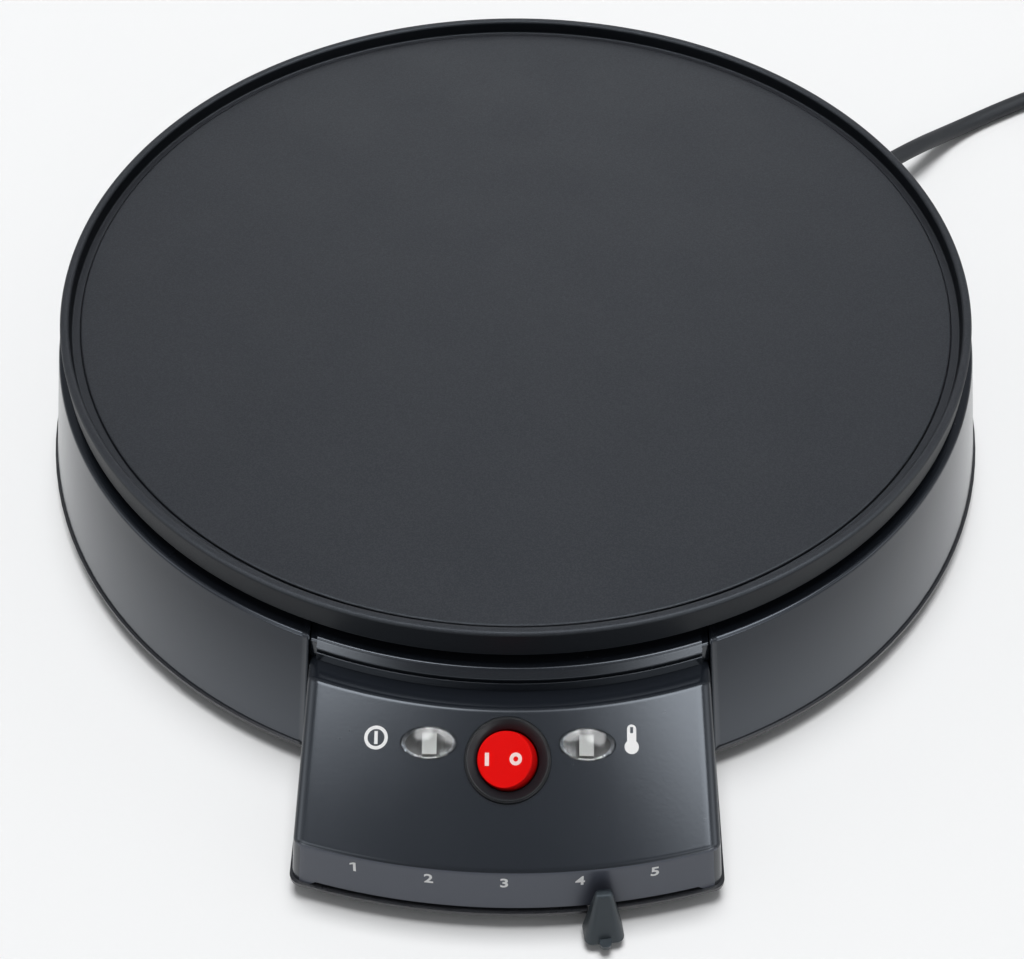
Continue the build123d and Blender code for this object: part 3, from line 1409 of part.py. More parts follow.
bore_z = floor_z + block_bore_height
block_inner = block_distance - block_depth / 2 + block_lead_depth
block_outer = block_distance + block_depth / 2 - block_lead_depth
switch_end = -switch_barrel_depth - switch_blade_length
live_blade = switch_plane.from_local_coords((switch_blade_pitch, 0, switch_end))
live_below = switch_plane.from_local_coords((switch_blade_pitch, 0, switch_end - 4))
load_blade = switch_plane.from_local_coords((-switch_blade_pitch, 0, switch_end))
load_below = switch_plane.from_local_coords((-switch_blade_pitch, 0, switch_end - 4))
blade_end = thermostat_flat + blade_length
blade_mid = blade_z + blade_thickness / 2
pin_tip_z = leg_end_z - terminal_pin_length
far_leg, near_leg = leg_spots
earth_x, earth_y = spot(earth_screw_distance, earth_screw_azimuth)
lead_routes = [
    # Live from the terminal block to the switch.
    [
        inlet_point(block_inner, -block_pitch, bore_z),
        inlet_point(block_inner - lead_straight - 2 * lead_radius, -block_pitch, bore_z),
        from_axis(50, -10, 15),
        from_axis(30, -100, 15),
        tuple(live_below),
        tuple(live_blade),
    ],
    # Switched live from the switch to the thermostat.
    [
        tuple(load_blade),
        tuple(load_below),
        from_axis(-14, -120, 19),
        from_axis(-8, -50, 30),
        from_axis(0, -blade_end - 10, blade_mid),
        from_axis(0, -blade_end, blade_mid),
    ],
    # From the thermostat round to the thermal fuse.
    [
        from_axis(0, blade_end, blade_mid),
        from_axis(0, blade_end + 8, blade_mid),
        from_axis(fuse_offset, blade_end + 4, fuse_z),
        from_axis(fuse_offset, fuse_length / 2, fuse_z),
    ],
    # From the thermal fuse back to the near end of the element.
    [
        from_axis(fuse_offset, -fuse_length / 2, fuse_z),
        from_axis(fuse_offset, -fuse_length / 2 - 10, fuse_z),
        from_axis(40, -14, 32),
        from_axis(42, 50, 28),
        from_axis(near_leg[0], near_leg[1], 18),
        from_axis(near_leg[0], near_leg[1], pin_tip_z),
    ],
    # Neutral from the terminal block to the far end of the element.
    [
        inlet_point(block_inner, block_pitch, bore_z),
        inlet_point(block_inner - lead_straight, block_pitch, bore_z),
        from_axis(0, 78, 14),
        from_axis(far_leg[0], far_leg[1], 15),
        from_axis(far_leg[0], far_leg[1], pin_tip_z),
    ],
    # Earth from the terminal block to the screw on the hotplate.
    [
        inlet_point(block_inner, 0, bore_z),
        inlet_point(block_inner - lead_straight, 0, bore_z),
        from_axis(earth_x, earth_y, 20),
        from_axis(earth_x, earth_y, earth_face - screw_head_height),
    ],
]
# The three cores fan out from the cord's sheath to the terminal block.
for side in (-1, 0, 1):
    lead_routes.append([
        inlet_point(sheath_end_distance, side * core_spread, inlet_height + (core_spread if side == 0 else 0)),
        inlet_point(sheath_end_distance - core_run, side * core_spread, inlet_height + (core_spread if side == 0 else 0)),
        inlet_point(block_outer + block_lead_depth + core_run, side * block_pitch, bore_z),
        inlet_point(block_outer, side * block_pitch, bore_z),
    ])
with BuildPart() as internal_leads:
    for lead_route in lead_routes:
        add(tube_along(lead_route, lead_radius, share=lead_bend_share))
finish(internal_leads, "internal_leads")
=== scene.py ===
import json
import math

import bmesh
import bpy
from mathutils import Matrix, Vector


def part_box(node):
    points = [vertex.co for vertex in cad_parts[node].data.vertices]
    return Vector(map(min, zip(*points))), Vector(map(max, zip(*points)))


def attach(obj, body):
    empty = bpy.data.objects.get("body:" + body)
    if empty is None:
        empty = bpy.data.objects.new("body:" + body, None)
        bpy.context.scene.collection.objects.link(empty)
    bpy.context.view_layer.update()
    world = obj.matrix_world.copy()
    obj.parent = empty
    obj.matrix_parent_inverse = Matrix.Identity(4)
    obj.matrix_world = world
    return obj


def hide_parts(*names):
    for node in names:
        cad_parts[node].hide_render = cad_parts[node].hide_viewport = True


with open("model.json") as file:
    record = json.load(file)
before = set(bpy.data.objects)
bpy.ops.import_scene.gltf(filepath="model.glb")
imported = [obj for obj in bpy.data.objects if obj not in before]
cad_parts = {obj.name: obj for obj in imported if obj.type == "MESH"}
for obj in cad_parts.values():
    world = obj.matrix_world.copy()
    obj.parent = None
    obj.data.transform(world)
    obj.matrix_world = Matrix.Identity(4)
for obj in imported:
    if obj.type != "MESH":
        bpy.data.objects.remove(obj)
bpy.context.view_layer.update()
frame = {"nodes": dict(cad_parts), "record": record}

# -------- sizes and places (metres)
# A radius is the distance from the drum's axis and a height is above the table, unless a note says otherwise.
plate_low, plate_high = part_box("hotplate")
AXIS = Vector((0, (plate_low.y + plate_high.y) / 2, 0))  # foot of the drum's axis
FRONT = -math.pi / 2  # azimuth of the front
SPARE_ROW = 0.0003  # row beside each rounding, keeps the flats flat

# Hotplate
PLATE_FACE = 0.0629
PLATE_UNDERSIDE = 0.0579
CHANNEL_RADIUS = 0.1498
CHANNEL_FLOOR = 0.0619
RIM_INNER_RADIUS = 0.1528
RIM_RADIUS = 0.1560
RIM_TOP = 0.0671
SKIRT_FOOT = 0.0570
RIB_INNER_RADIUS = 0.0925
RIB_OUTER_RADIUS = 0.1075
RIB_FOOT = 0.0523
SPACER_RADIUS = 0.1180
SPACER_AZIMUTHS = (90, 210, 330)
FUSE_BOSS_OFFSET = 0.0240
BOSS_OVERLAP = 0.0001  # how far a boss reaches into the plate

# Drum
HOUSING_FLOOR = 0.0075  # parting plane between the cover and the housings
HOUSING_TOP = 0.0530
DRUM_FOOT_RADIUS = 0.1675
DRUM_TOP_RADIUS = 0.1587
DRUM_WALL = 0.0025
DRUM_EDGE_ROUNDING = 0.0014
DRUM_OUTSIDE_POINTS = 16  # points of wall, edge and top face in its section
BEAD_INNER_RADIUS = 0.1550  # the bead beside the seam pushes out what lies outside this,
BEAD_LIFT_HEIGHTS = (0.0490, 0.0525)  # and lifts what lies above the first, fully from the second on
PLATE_RECESS_RADIUS = 0.1506
PLATE_RECESS_FLOOR = 0.0510
HEAT_OPENING_RADIUS = 0.1420
TOP_RING_UNDERSIDE = 0.0485
INLET_AZIMUTH = math.radians(40.3)
INLET_HEIGHT = 0.0160
INLET_BORE = 0.0052
INLET_COLLAR = 0.0084
INLET_BACK = 0.1605
INLET_FACE = 0.1685

# Seam between the drum and the pod; a width, station or end is a distance from the drum's cut edge
SEAM_GAP = 0.0003
CUT_EDGE_WIDTH = 0.0007
CUT_EDGE_ROUNDING = 0.0010
BEAD_HEIGHT = 0.00045
BEAD_END = 0.0024
BEAD_HOLLOW = 0.35  # share by which it sags between its top and its end
SEAM_STATIONS = [0.00014 * step for step in range(18)] + [0.0028, 0.0036]
SEAM_END = 0.0045

# Pod
POD_HALF = 0.0637  # half width at the parting plane
POD_DRAFT = math.tan(math.radians(5.7))
POD_WALL = 0.0024
POD_SIDE_ROUNDING = 0.0023
POD_SIDE_SOFTNESS = 0.0036  # width that the rounding takes on the panel
POD_REAR_RADIUS = 0.1512
BAND_FOOT_RADIUS = 0.2120
PANEL_LOW_RADIUS = 0.2100
PANEL_LOW_HEIGHT = 0.0262
PANEL_HIGH_RADIUS = 0.1676
PANEL_HIGH_HEIGHT = 0.0464
PANEL_LOW_UNDERSIDE = 0.0250
PANEL_HIGH_UNDERSIDE = 0.0437
PANEL_SLOPE = math.atan2(PANEL_HIGH_HEIGHT - PANEL_LOW_HEIGHT, PANEL_LOW_RADIUS - PANEL_HIGH_RADIUS)
BAND_LEAN = (BAND_FOOT_RADIUS - PANEL_LOW_RADIUS) / (PANEL_LOW_HEIGHT - HOUSING_FLOOR)
VALLEY_RADIUS = 0.1606
VALLEY_HEIGHT = 0.0449
VALLEY_REAR_HEIGHT = 0.0430
VALLEY_UNDERSIDE = 0.0424
SLOT_HEIGHT = 0.0018  # slot for the lever, open over the cover
SLOT_END = 0.968  # share of the pod's half width where it ends,
SLOT_FULL = 0.938  # and where it has its full height
# the satin front band is partly painted light: its lighter colour stands in for light from the front
SATIN_INNER_RADIUS = 0.2085  # the front band is satin outside this radius,
SATIN_SIDE_GAP = 0.0030  # this far in from the pod's sides,
SATIN_UPWARD = 0.45  # where a face looks up by less than this
RIDGE_RADIUS = 0.1599
RIDGE_CREST_RADIUS = 0.1580
RIDGE_FOOT = 0.0440
RIDGE_REAR_FOOT = 0.0425
RIDGE_GROOVE_LOW = 0.0481
RIDGE_GROOVE_HIGH = 0.0495
RIDGE_GROOVE_DEPTH = 0.0010
RIDGE_END_GAP = 0.0020
RIDGE_END_DROP = 0.0012
RIDGE_END_LEAN = 0.0002

# Switch; a round size is a radius about its own middle, and a height or depth is from the panel's face.
# The rocker's top and shoulder are above its pivot.
SWITCH_RADIUS = 0.1810  # its middle, from the drum's axis
SWITCH_DISH = 0.0128
SWITCH_DISH_DEPTH = 0.0008
SWITCH_HOLE = 0.01015
BEZEL_RIM = 0.0126
BEZEL_MOUTH = 0.0118
BEZEL_HEIGHT = 0.0013  # at its mouth
BEZEL_RIM_HEIGHT = 0.0012
SWITCH_BARREL = 0.0100
SWITCH_DEPTH = 0.0150
ROCKER_WELL = 0.00905
ROCKER_WELL_DEPTH = 0.0100
ROCKER_WELL_LIP_DEPTH = 0.0005
ROCKER_PIVOT_DEPTH = 0.0026
ROCKER_TILT = math.radians(11.0)
ROCKER_TOP = 0.0050
ROCKER_TOP_REACH = 0.00815
ROCKER_TOP_ROWS = [0.0011 * row for row in range(1, 7)]
ROCKER_SHOULDER = 0.0021
ROCKER_SHOULDER_REACH = 0.0085
ROCKER_SWING = 0.00875  # round outline of the keel about the pivot
ROCKER_KEEL_HEIGHTS = (ROCKER_SHOULDER, 0.0012, 0.0003, -0.0006, -0.0015, -0.0025, -0.0035)
FINGER_HOLLOW_RADIUS = 0.0600
FINGER_HOLLOW_DEPTH = 0.0005

# Lenses; a reach is half of the oval's long side, and a height or depth is from the panel's face
LENS_RADIUS = 0.1778  # their middles, from the drum's axis
LENS_OFFSET = 0.0231
LENS_REACH = 0.00825
LENS_NECK = 0.0067  # a reach too
LENS_HEIGHT = 0.0015
LENS_DEPTH = 0.0070
LENS_DOME = 0.0220  # radius of its ball
LENS_OVAL = 0.564
LENS_STEPS = 10
LENS_SEAT_DEPTH = 0.0012
LENS_SEAT_OVAL = 0.569
LENS_PLAY = 0.0001
CUTTER_DEPTH = 0.0090
CUTTER_HEIGHT = 0.0040
SEAT_MOUTH = [(0, -0.0002), (0.00025, 0.0001), (0.00045, CUTTER_HEIGHT)]  # out of the seat, and height

# Printed marks; a mark's spot is an offset from the panel's middle and a radius, and the other spots are
# from the middle of the mark or the rocker
PRINT_THICKNESS = 0.00004
PRINT_LIFT = 0.00002
POWER_MARK_SPOT = (-0.0386, 0.1787)
POWER_RING_OUTER = 0.0035
POWER_RING_INNER = 0.0025
POWER_BAR = (0.0010, 0.0038)
TEMPERATURE_MARK_SPOT = (0.0361, 0.1780)
STEM_RADIUS = 0.00135
STEM_TOP = (0, 0.0030)
STEM_WINDOW = (0.0009, 0.0018)
STEM_WINDOW_SPOT = (0, 0.0027)
BULB_RADIUS = 0.0021
BULB_SPOT = (0, -0.0022)
ON_BAR = (0.0012, 0.0038)
ON_SPOT = (-0.0052, 0)
OFF_RING_OUTER = 0.00185
OFF_RING_INNER = 0.00075
OFF_SPOT = (0.0033, 0)
DIGIT_SIZE = 0.0056
DIGIT_WEIGHT = 0.00013
DIGIT_ONE_FLAG = [(-0.0004, 0.00225), (-0.0014, 0.0016), (-0.0014, 0.0009), (-0.0004, 0.00145)]
DIAL_MARK_HEIGHT = 0.0212
DIAL_FIRST = -12.05  # azimuth of the first mark from the front, degrees
DIAL_STEP = 5.95

# Mains cord
CORD_RADIUS = 0.0034
CORD_ROUTE = [
    (0.14650, 0.15099, 0.0160),
    (0.16252, 0.16457, 0.0160),
    (0.18750, 0.19450, 0.0035),
    (0.21750, 0.21450, 0.0035),
    (0.24050, 0.22700, 0.0035),
    (0.25560, 0.23560, 0.0041),
]
PLUG_ROUTE = [
    (0.32430, 0.19600, 0.0110),
    (0.32380, 0.18400, 0.0090),
    (0.32000, 0.16300, 0.0036),
    (0.31600, 0.14000, 0.0036),
    (0.31150, 0.11900, 0.0095),
    (0.31150, 0.10100, 0.0095),
]
COIL_CENTRE = Vector((0.2839, 0.2062))
COIL_START = 119.8  # azimuth where the first turn begins, degrees
COIL_TURNS = 3
COIL_STEPS = 18  # spline points in one turn
COIL_OUTER = 0.0404  # middle of the cord in the outer turns
COIL_INNER = 0.0336
COIL_LOW = 0.0043
COIL_HIGH = 0.0111
COIL_INWARD = (290, 350)  # degrees from the start where it runs inwards,
COIL_RISE = (632, 698)  # up to the second layer,
COIL_OUTWARD = (1000, 1055)  # and back outwards


# -------- shader helpers
def shade(tree, kind, settings=None, **inputs):
    """New shader node, with its settings, and its inputs set or linked by name, or by number as in _0."""
    node = tree.nodes.new("ShaderNode" + kind)
    for name, value in (settings or {}).items():
        setattr(node, name, value)
    for name, value in inputs.items():
        socket = node.inputs[int(name[1:]) if name[0] == "_" else name.replace("_", " ")]
        if isinstance(value, bpy.types.NodeSocket):
            tree.links.new(value, socket)
        else:
            socket.default_value = value
    return node


def maths(tree, operation, first, second=0.5):
    return shade(tree, "Math", {"operation": operation}, _0=first, _1=second).outputs[0]


def vector_maths(tree, operation, first, second):
    return shade(tree, "VectorMath", {"operation": operation}, _0=first, _1=second).outputs[0]


def ramp(tree, value, start, stop, low=0.0, high=1.0):
    """Goes from low to high while the value goes from start to stop, and stays there."""
    return shade(tree, "MapRange", _0=value, _1=start, _2=stop, _3=low, _4=high).outputs[0]


def blend_colours(tree, share, low, high):
    return shade(tree, "Mix", {"data_type": "RGBA"}, _0=share, _6=low, _7=high).outputs[2]


def component(tree, vector, axis):
    return shade(tree, "SeparateXYZ", Vector=vector).outputs[axis]


def object_point(tree):
    return shade(tree, "TexCoord").outputs["Object"]


def noise(tree, point, scale, detail, roughness=0.5):
    return shade(tree, "TexNoise", Vector=point, Scale=scale, Detail=detail, Roughness=roughness).outputs[0]


def new_group(name, inputs, outputs):
    """Shader group with float, vector and colour sockets, by name."""
    group = bpy.data.node_groups.new(name, "ShaderNodeTree")
    for sockets, side in ((inputs, "INPUT"), (outputs, "OUTPUT")):
        for label, kind in sockets.items():
            group.interface.new_socket(label, in_out=side, socket_type="NodeSocket" + kind)
    entry = group.nodes.new("NodeGroupInput")
    leave = group.nodes.new("NodeGroupOutput")
    return group, entry.outputs, leave.inputs


def use_group(tree, group, **inputs):
    return shade(tree, "Group", {"node_tree": group}, **inputs).outputs


def moulded_grain_group():
    """Fine texture of a moulded or sprayed surface, with a slow drift in its sheen."""
    group, given, result = new_group(
        "Moulded Grain",
        {"Scale": "Float", "Roughness": "Float", "Drift": "Float"},
        {"Roughness": "Float", "Height": "Float"},
    )
    point = object_point(group)
    grain = noise(group, point, given["Scale"], 4.0, 0.6)
    slow = noise(group, point, 28.0, 2.0)
    drift = maths(group, "MULTIPLY", maths(group, "SUBTRACT", slow, 0.5), given["Drift"])
    fine = maths(group, "MULTIPLY", maths(group, "SUBTRACT", grain, 0.5), given["Drift"])
    rough = maths(group, "ADD", maths(group, "ADD", drift, given["Roughness"]), fine)
    group.links.new(rough, result["Roughness"])
    group.links.new(grain, result["Height"])
    return group


def settled_dust_group():
    """Thin haze and a few pale specks on faces that look up."""
    group, given, result = new_group(
        "Settled Dust",
        {"Color": "Color", "Dust": "Color", "Haze": "Float", "Specks": "Float"},
        {"Color": "Color"},
    )
    point = object_point(group)
    up = component(group, shade(group, "NewGeometry").outputs["Normal"], "Z")
    facing = maths(group, "MAXIMUM", up, 0.0)
    cloud = noise(group, point, 45.0, 5.0)
    haze = maths(group, "MULTIPLY", maths(group, "MULTIPLY", cloud, given["Haze"]), facing)
    cells = shade(group, "TexVoronoi", Vector=point, Scale=260.0, Randomness=1.0).outputs
    near = ramp(group, cells["Distance"], 0.10, 0.05)
    rare = maths(group, "GREATER_THAN", shade(group, "SeparateColor", Color=cells["Color"]).outputs[0], 0.93)
    speck = maths(group, "MULTIPLY", maths(group, "MULTIPLY", near, rare), given["Specks"])
    mask = maths(group, "ADD", haze, maths(group, "MULTIPLY", speck, facing))
    group.links.new(blend_colours(group, mask, given["Color"], given["Dust"]), result["Color"])
    return group


def drawn_metal_group():
    """Fine lines left by rolling, drawing or turning a metal."""
    group, given, result = new_group(
        "Drawn Metal",
        {"Color": "Color", "Stretch": "Vector", "Contrast": "Float", "Roughness": "Float"},
        {"Color": "Color", "Roughness": "Float", "Height": "Float"},
    )
    along = vector_maths(group, "MULTIPLY", object_point(group), given["Stretch"])
    lines = noise(group, along, 1.0, 5.0, 0.65)
    tone = maths(group, "MULTIPLY", lines, given["Contrast"])
    group.links.new(blend_colours(group, tone, given["Color"], (0.10, 0.095, 0.09, 1)), result["Color"])
    rough = maths(group, "ADD", maths(group, "MULTIPLY", tone, 0.5), given["Roughness"])
    group.links.new(rough, result["Roughness"])
    group.links.new(lines, result["Height"])
    return group


moulded_grain = moulded_grain_group()
settled_dust = settled_dust_group()
drawn_metal = drawn_metal_group()


# -------- finishes
def new_material(name):
    """Material with its tree and the sockets of its Principled shader."""
    material = bpy.data.materials.new(name)
    material.use_nodes = True
    tree = material.node_tree
    return material, tree, tree.nodes["Principled BSDF"].inputs


def bump(tree, surface, height, depth, strength):
    node = shade(tree, "Bump", Height=height, Strength=strength, Distance=depth)
    tree.links.new(node.outputs["Normal"], surface["Normal"])


def moulded(name, colour, roughness, drift, grain, depth, haze=0.0, specks=0.0, tint=(1, 1, 1), shine=0.5,
            painted_foot_sheen=None):
    """Moulded plastic or rubber, from polished to matt, with a painted sheen that reflects more strongly
    towards its foot where asked.
    """
    material, tree, surface = new_material(name)
    texture = use_group(tree, moulded_grain, Scale=grain, Roughness=roughness, Drift=drift)
    dusty = use_group(tree, settled_dust, Color=(*colour, 1), Dust=(0.42, 0.42, 0.43, 1),
                      Haze=haze, Specks=specks)
    tree.links.new(dusty["Color"], surface["Base Color"])
    tree.links.new(texture["Roughness"], surface["Roughness"])
    surface["Specular Tint"].default_value = (*tint, 1)
    surface["Specular IOR Level"].default_value = shine
    # painted sheen: the reflection is made stronger towards the foot, where the wall looks brighter under the
    # light
    if painted_foot_sheen:
        height = component(tree, object_point(tree), "Z")
        level = ramp(tree, height, 0.012, 0.048, painted_foot_sheen, shine)
        tree.links.new(level, surface["Specular IOR Level"])
    bump(tree, surface, texture["Height"], depth, strength=0.6)
    return material


def metal(name, colour, roughness, stretch=(900, 900, 60)):
    """Bare or plated metal with its working lines, long where the stretch is small."""
    material, tree, surface = new_material(name)
    worked = use_group(tree, drawn_metal, Color=(*colour, 1), Stretch=stretch, Contrast=0.25,
                       Roughness=roughness)
    tree.links.new(worked["Color"], surface["Base Color"])
    tree.links.new(worked["Roughness"], surface["Roughness"])
    surface["Metallic"].default_value = 1.0
    bump(tree, surface, worked["Height"], depth=0.00001, strength=0.5)
    return material


def clear_lens():
    """Clear moulded plastic of the lenses."""
    material, tree, surface = new_material("clear_lens")
    texture = use_group(tree, moulded_grain, Scale=600.0, Roughness=0.11, Drift=0.03)
    surface["Base Color"].default_value = (0.95, 0.97, 0.98, 1)
    surface["Transmission Weight"].default_value = 1.0
    surface["IOR"].default_value = 1.49
    tree.links.new(texture["Roughness"], surface["Roughness"])
    return material


def hotplate_coating():
    """Sprayed non-stick coating over turned cast metal, with painted shade on its upright faces, which are
    also less glossy.
    """
    material, tree, surface = new_material("hotplate_coating")
    texture = use_group(tree, moulded_grain, Scale=1500.0, Roughness=0.46, Drift=0.16)
    specks = noise(tree, object_point(tree), 2600.0, 2.0)
    spray = blend_colours(tree, ramp(tree, specks, 0.42, 0.62),
                          (0.0100, 0.0108, 0.0132, 1), (0.0200, 0.0212, 0.0250, 1))
    dusty = use_group(tree, settled_dust, Color=spray, Dust=(0.20, 0.20, 0.21, 1), Haze=0.025, Specks=0.0)
    facing = component(tree, shade(tree, "NewGeometry").outputs["True Normal"], "Z")
    # painted shade: upright faces get a darker colour than the faces that look up
    unshaded_share = ramp(tree, facing, 0.2, 0.8)
    colour = blend_colours(tree, unshaded_share, (0.0045, 0.0053, 0.0070, 1), dusty["Color"])
    tree.links.new(colour, surface["Base Color"])
    tree.links.new(texture["Roughness"], surface["Roughness"])
    surface["Specular Tint"].default_value = (0.80, 0.90, 1.0, 1)
    surface["Specular IOR Level"].default_value = 0.40
    tree.links.new(ramp(tree, facing, 0.2, 0.8, 0.18, 0.40), surface["Specular IOR Level"])
    bump(tree, surface, texture["Height"], depth=0.00006, strength=0.5)
    return material


POLISHED_BLACK = dict(colour=(0.0085, 0.0105, 0.0145), roughness=0.17, drift=0.05, grain=900.0,
                      depth=0.000012, haze=0.006, specks=0.05)
MOULDED_FINISHES = {
    "black_gloss": dict(POLISHED_BLACK, tint=(0.84, 0.91, 1.0)),
    # the drum's finish has a painted sheen, stronger towards its foot
    "drum_gloss": dict(POLISHED_BLACK, tint=(0.80, 0.88, 1.0), shine=0.42, painted_foot_sheen=0.90),
    # satin, partly painted light: this lighter colour stands in for light from the front on the band
    "black_satin": dict(colour=(0.049, 0.054, 0.071), roughness=0.34, drift=0.06, grain=1500.0,
                        depth=0.000015, tint=(0.84, 0.90, 1.0)),
    "black_cover": dict(colour=(0.022, 0.023, 0.027), roughness=0.30, drift=0.12, grain=1400.0,
                        depth=0.00002),
    "black_rubber": dict(colour=(0.0105, 0.0112, 0.0130), roughness=0.56, drift=0.12, grain=1200.0,
                         depth=0.00003, tint=(0.88, 0.94, 1.0), shine=0.42),
    "black_knob": dict(colour=(0.013, 0.0165, 0.020), roughness=0.42, drift=0.10, grain=1600.0,
                       depth=0.00003, tint=(0.80, 0.92, 1.0)),
    "black_bezel": dict(colour=(0.0060, 0.0068, 0.0085), roughness=0.40, drift=0.08, grain=1500.0,
                        depth=0.00002, shine=0.3),
    "red_gloss": dict(colour=(0.70, 0.0040, 0.0035), roughness=0.26, drift=0.05, grain=700.0,
                      depth=0.00001, shine=0.06),
    "white_print": dict(colour=(0.72, 0.72, 0.72), roughness=0.45, drift=0.08, grain=2000.0, depth=0.000005),
    "pale_print": dict(colour=(0.80, 0.60, 0.57), roughness=0.40, drift=0.08, grain=2000.0, depth=0.000005),
    "lamp_glass": dict(colour=(0.27, 0.27, 0.26), roughness=0.25, drift=0.05, grain=900.0, depth=0.00001),
    "ceramic": dict(colour=(0.76, 0.73, 0.67), roughness=0.30, drift=0.10, grain=500.0, depth=0.00003),
    "ivory_plastic": dict(colour=(0.78, 0.75, 0.66), roughness=0.45, drift=0.10, grain=1300.0, depth=0.00003),
    "lead_sleeve": dict(colour=(0.68, 0.64, 0.56), roughness=0.70, drift=0.15, grain=2600.0, depth=0.00010),
    "tie_plastic": dict(colour=(0.040, 0.040, 0.042), roughness=0.40, drift=0.10, grain=1500.0,
                        depth=0.00002),
    "plug_plastic": dict(colour=(0.024, 0.024, 0.026), roughness=0.38, drift=0.12, grain=1300.0,
                         depth=0.00004),
    "fuse_carrier_plastic": dict(colour=(0.42, 0.022, 0.022), roughness=0.38, drift=0.08, grain=1300.0,
                                 depth=0.00001),
}
METAL_FINISHES = {
    "plated_steel": dict(colour=(0.60, 0.60, 0.61), roughness=0.28),
    # blackened_steel is painted shade: it darkens the lever's arm where the slot shows only shade
    "blackened_steel": dict(colour=(0.045, 0.047, 0.050), roughness=0.42),
    "reflector_sheet": dict(colour=(0.74, 0.74, 0.75), roughness=0.30, stretch=(40, 900, 900)),
    "element_sheath": dict(colour=(0.26, 0.24, 0.22), roughness=0.45),
    "brass": dict(colour=(0.78, 0.58, 0.28), roughness=0.30),
}
MATERIALS = {name: moulded(name, **finish) for name, finish in MOULDED_FINISHES.items()}
MATERIALS |= {name: metal(name, **finish) for name, finish in METAL_FINISHES.items()}
MATERIALS |= {"hotplate_coating": hotplate_coating(), "clear_lens": clear_lens()}

slots = {entry["node"]: entry["material_slot"] for entry in frame["record"]["subparts"]}
for name, piece in frame["nodes"].items():
    piece.data.materials.clear()
    # the lever's arm is painted near black as painted shade in the slot it runs through, unlike the other
    # pieces of its slot
    piece.data.materials.append(MATERIALS["blackened_steel" if name == "lever_arm" else slots[name]])


# -------- mesh helpers
def dress(piece, material, body="root"):
    """Give a new piece its material and the CAD body that it rides on."""
    piece.data.materials.clear()
    piece.data.materials.append(MATERIALS[material])
    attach(piece, body)
    return piece


def new_object(name, data):
    """Object of the scene from its mesh, curve, lamp or camera."""
    thing = bpy.data.objects.new(name, data)
    bpy.context.scene.collection.objects.link(thing)
    return thing


def final_mesh(thing):
    """Copy of an object's mesh as it is shown, with its modifiers or its curve's thickness."""
    bpy.context.view_layer.update()
    return bpy.data.meshes.new_from_object(thing.evaluated_get(bpy.context.evaluated_depsgraph_get()))


def way_along(value, start, stop):
    """Share of the way from start to stop, from 0 to 1."""
    return min(max((value - start) / (stop - start), 0.0), 1.0)


def round_the_axis(radius, azimuth, height):
    """Point by its distance from the drum's axis, its azimuth in radians and its height."""
    return AXIS + Vector((radius * math.cos(azimuth), radius * math.sin(azimuth), height))


def face_matrix(origin, across, normal):
    """Placement on a face: x across it, z out of it."""
    normal = normal.normalized()
    across = (across - normal * across.dot(normal)).normalized()
    turn = Matrix((across, normal.cross(across), normal)).transposed().to_4x4()
    return Matrix.Translation(origin) @ turn


def panel_frame(offset, radius, lift=0.0):
    """Placement on the sloping panel, by the offset from its middle and the radius, and lifted out of it."""
    azimuth = FRONT + math.asin(offset / radius)
    height = PANEL_LOW_HEIGHT + (PANEL_LOW_RADIUS - radius) * math.tan(PANEL_SLOPE)
    outward = Vector((math.cos(azimuth), math.sin(azimuth), 0))
    normal = outward * math.sin(PANEL_SLOPE) + Vector((0, 0, math.cos(PANEL_SLOPE)))
    face = face_matrix(round_the_axis(radius, azimuth, height), Vector((1, 0, 0)), normal)
    return face @ Matrix.Translation((0, 0, lift))


def band_frame(azimuth, height, lift=0.0):
    """Placement on the front band, by the azimuth from the front and the height, and lifted out of it."""
    turn = FRONT + math.radians(azimuth)
    radius = BAND_FOOT_RADIUS - BAND_LEAN * (height - HOUSING_FLOOR)
    outward = Vector((math.cos(turn), math.sin(turn), 0))
    across = Vector((-math.sin(turn), math.cos(turn), 0))
    face = face_matrix(round_the_axis(radius, turn, height), across, outward + Vector((0, 0, BAND_LEAN)))
    return face @ Matrix.Translation((0, 0, lift))


def axis_frame(azimuth, height):
    """Placement whose z runs straight out from the drum's axis at an azimuth and height."""
    outward = Vector((math.cos(azimuth), math.sin(azimuth), 0))
    across = Vector((-math.sin(azimuth), math.cos(azimuth), 0))
    turn = Matrix((across, Vector((0, 0, 1)), outward)).transposed().to_4x4()
    return Matrix.Translation(AXIS + Vector((0, 0, height))) @ turn


def rounded_path(corners, steps=6):
    """Outline whose corners (across, up, radius) become arcs."""
    path = []
    for place, (across, up, radius) in enumerate(corners):
        here = Vector((across, up))
        if radius == 0:
            path.append(here)
            continue
        back = (Vector(corners[place - 1][:2]) - here).normalized()
        onward = (Vector(corners[place + 1][:2]) - here).normalized()
        half = back.angle(onward) / 2
        reach = radius / math.tan(half)
        middle = here + (back + onward).normalized() * (radius / math.sin(half))
        start = here + back * reach - middle
        stop = here + onward * reach - middle
        turn = math.atan2(start.cross(stop), start.dot(stop))
        path.append(here + back * (reach + min(SPARE_ROW, radius)))
        for step in range(steps + 1):
            angle = turn * step / steps
            path.append(middle + Vector((start.x * math.cos(angle) - start.y * math.sin(angle),
                                         start.x * math.sin(angle) + start.y * math.cos(angle))))
        path.append(here + onward * (reach + min(SPARE_ROW, radius)))
    return path


def loft(shape, rings):
    """Skin over closed rings of points, with a cap at each end."""
    rows = [[shape.verts.new(point) for point in ring] for ring in rings]
    for here, onward in zip(rows, rows[1:]):
        for place in range(len(here)):
            shape.faces.new((here[place - 1], here[place], onward[place], onward[place - 1]))
    shape.faces.new(rows[0])
    shape.faces.new(rows[-1])


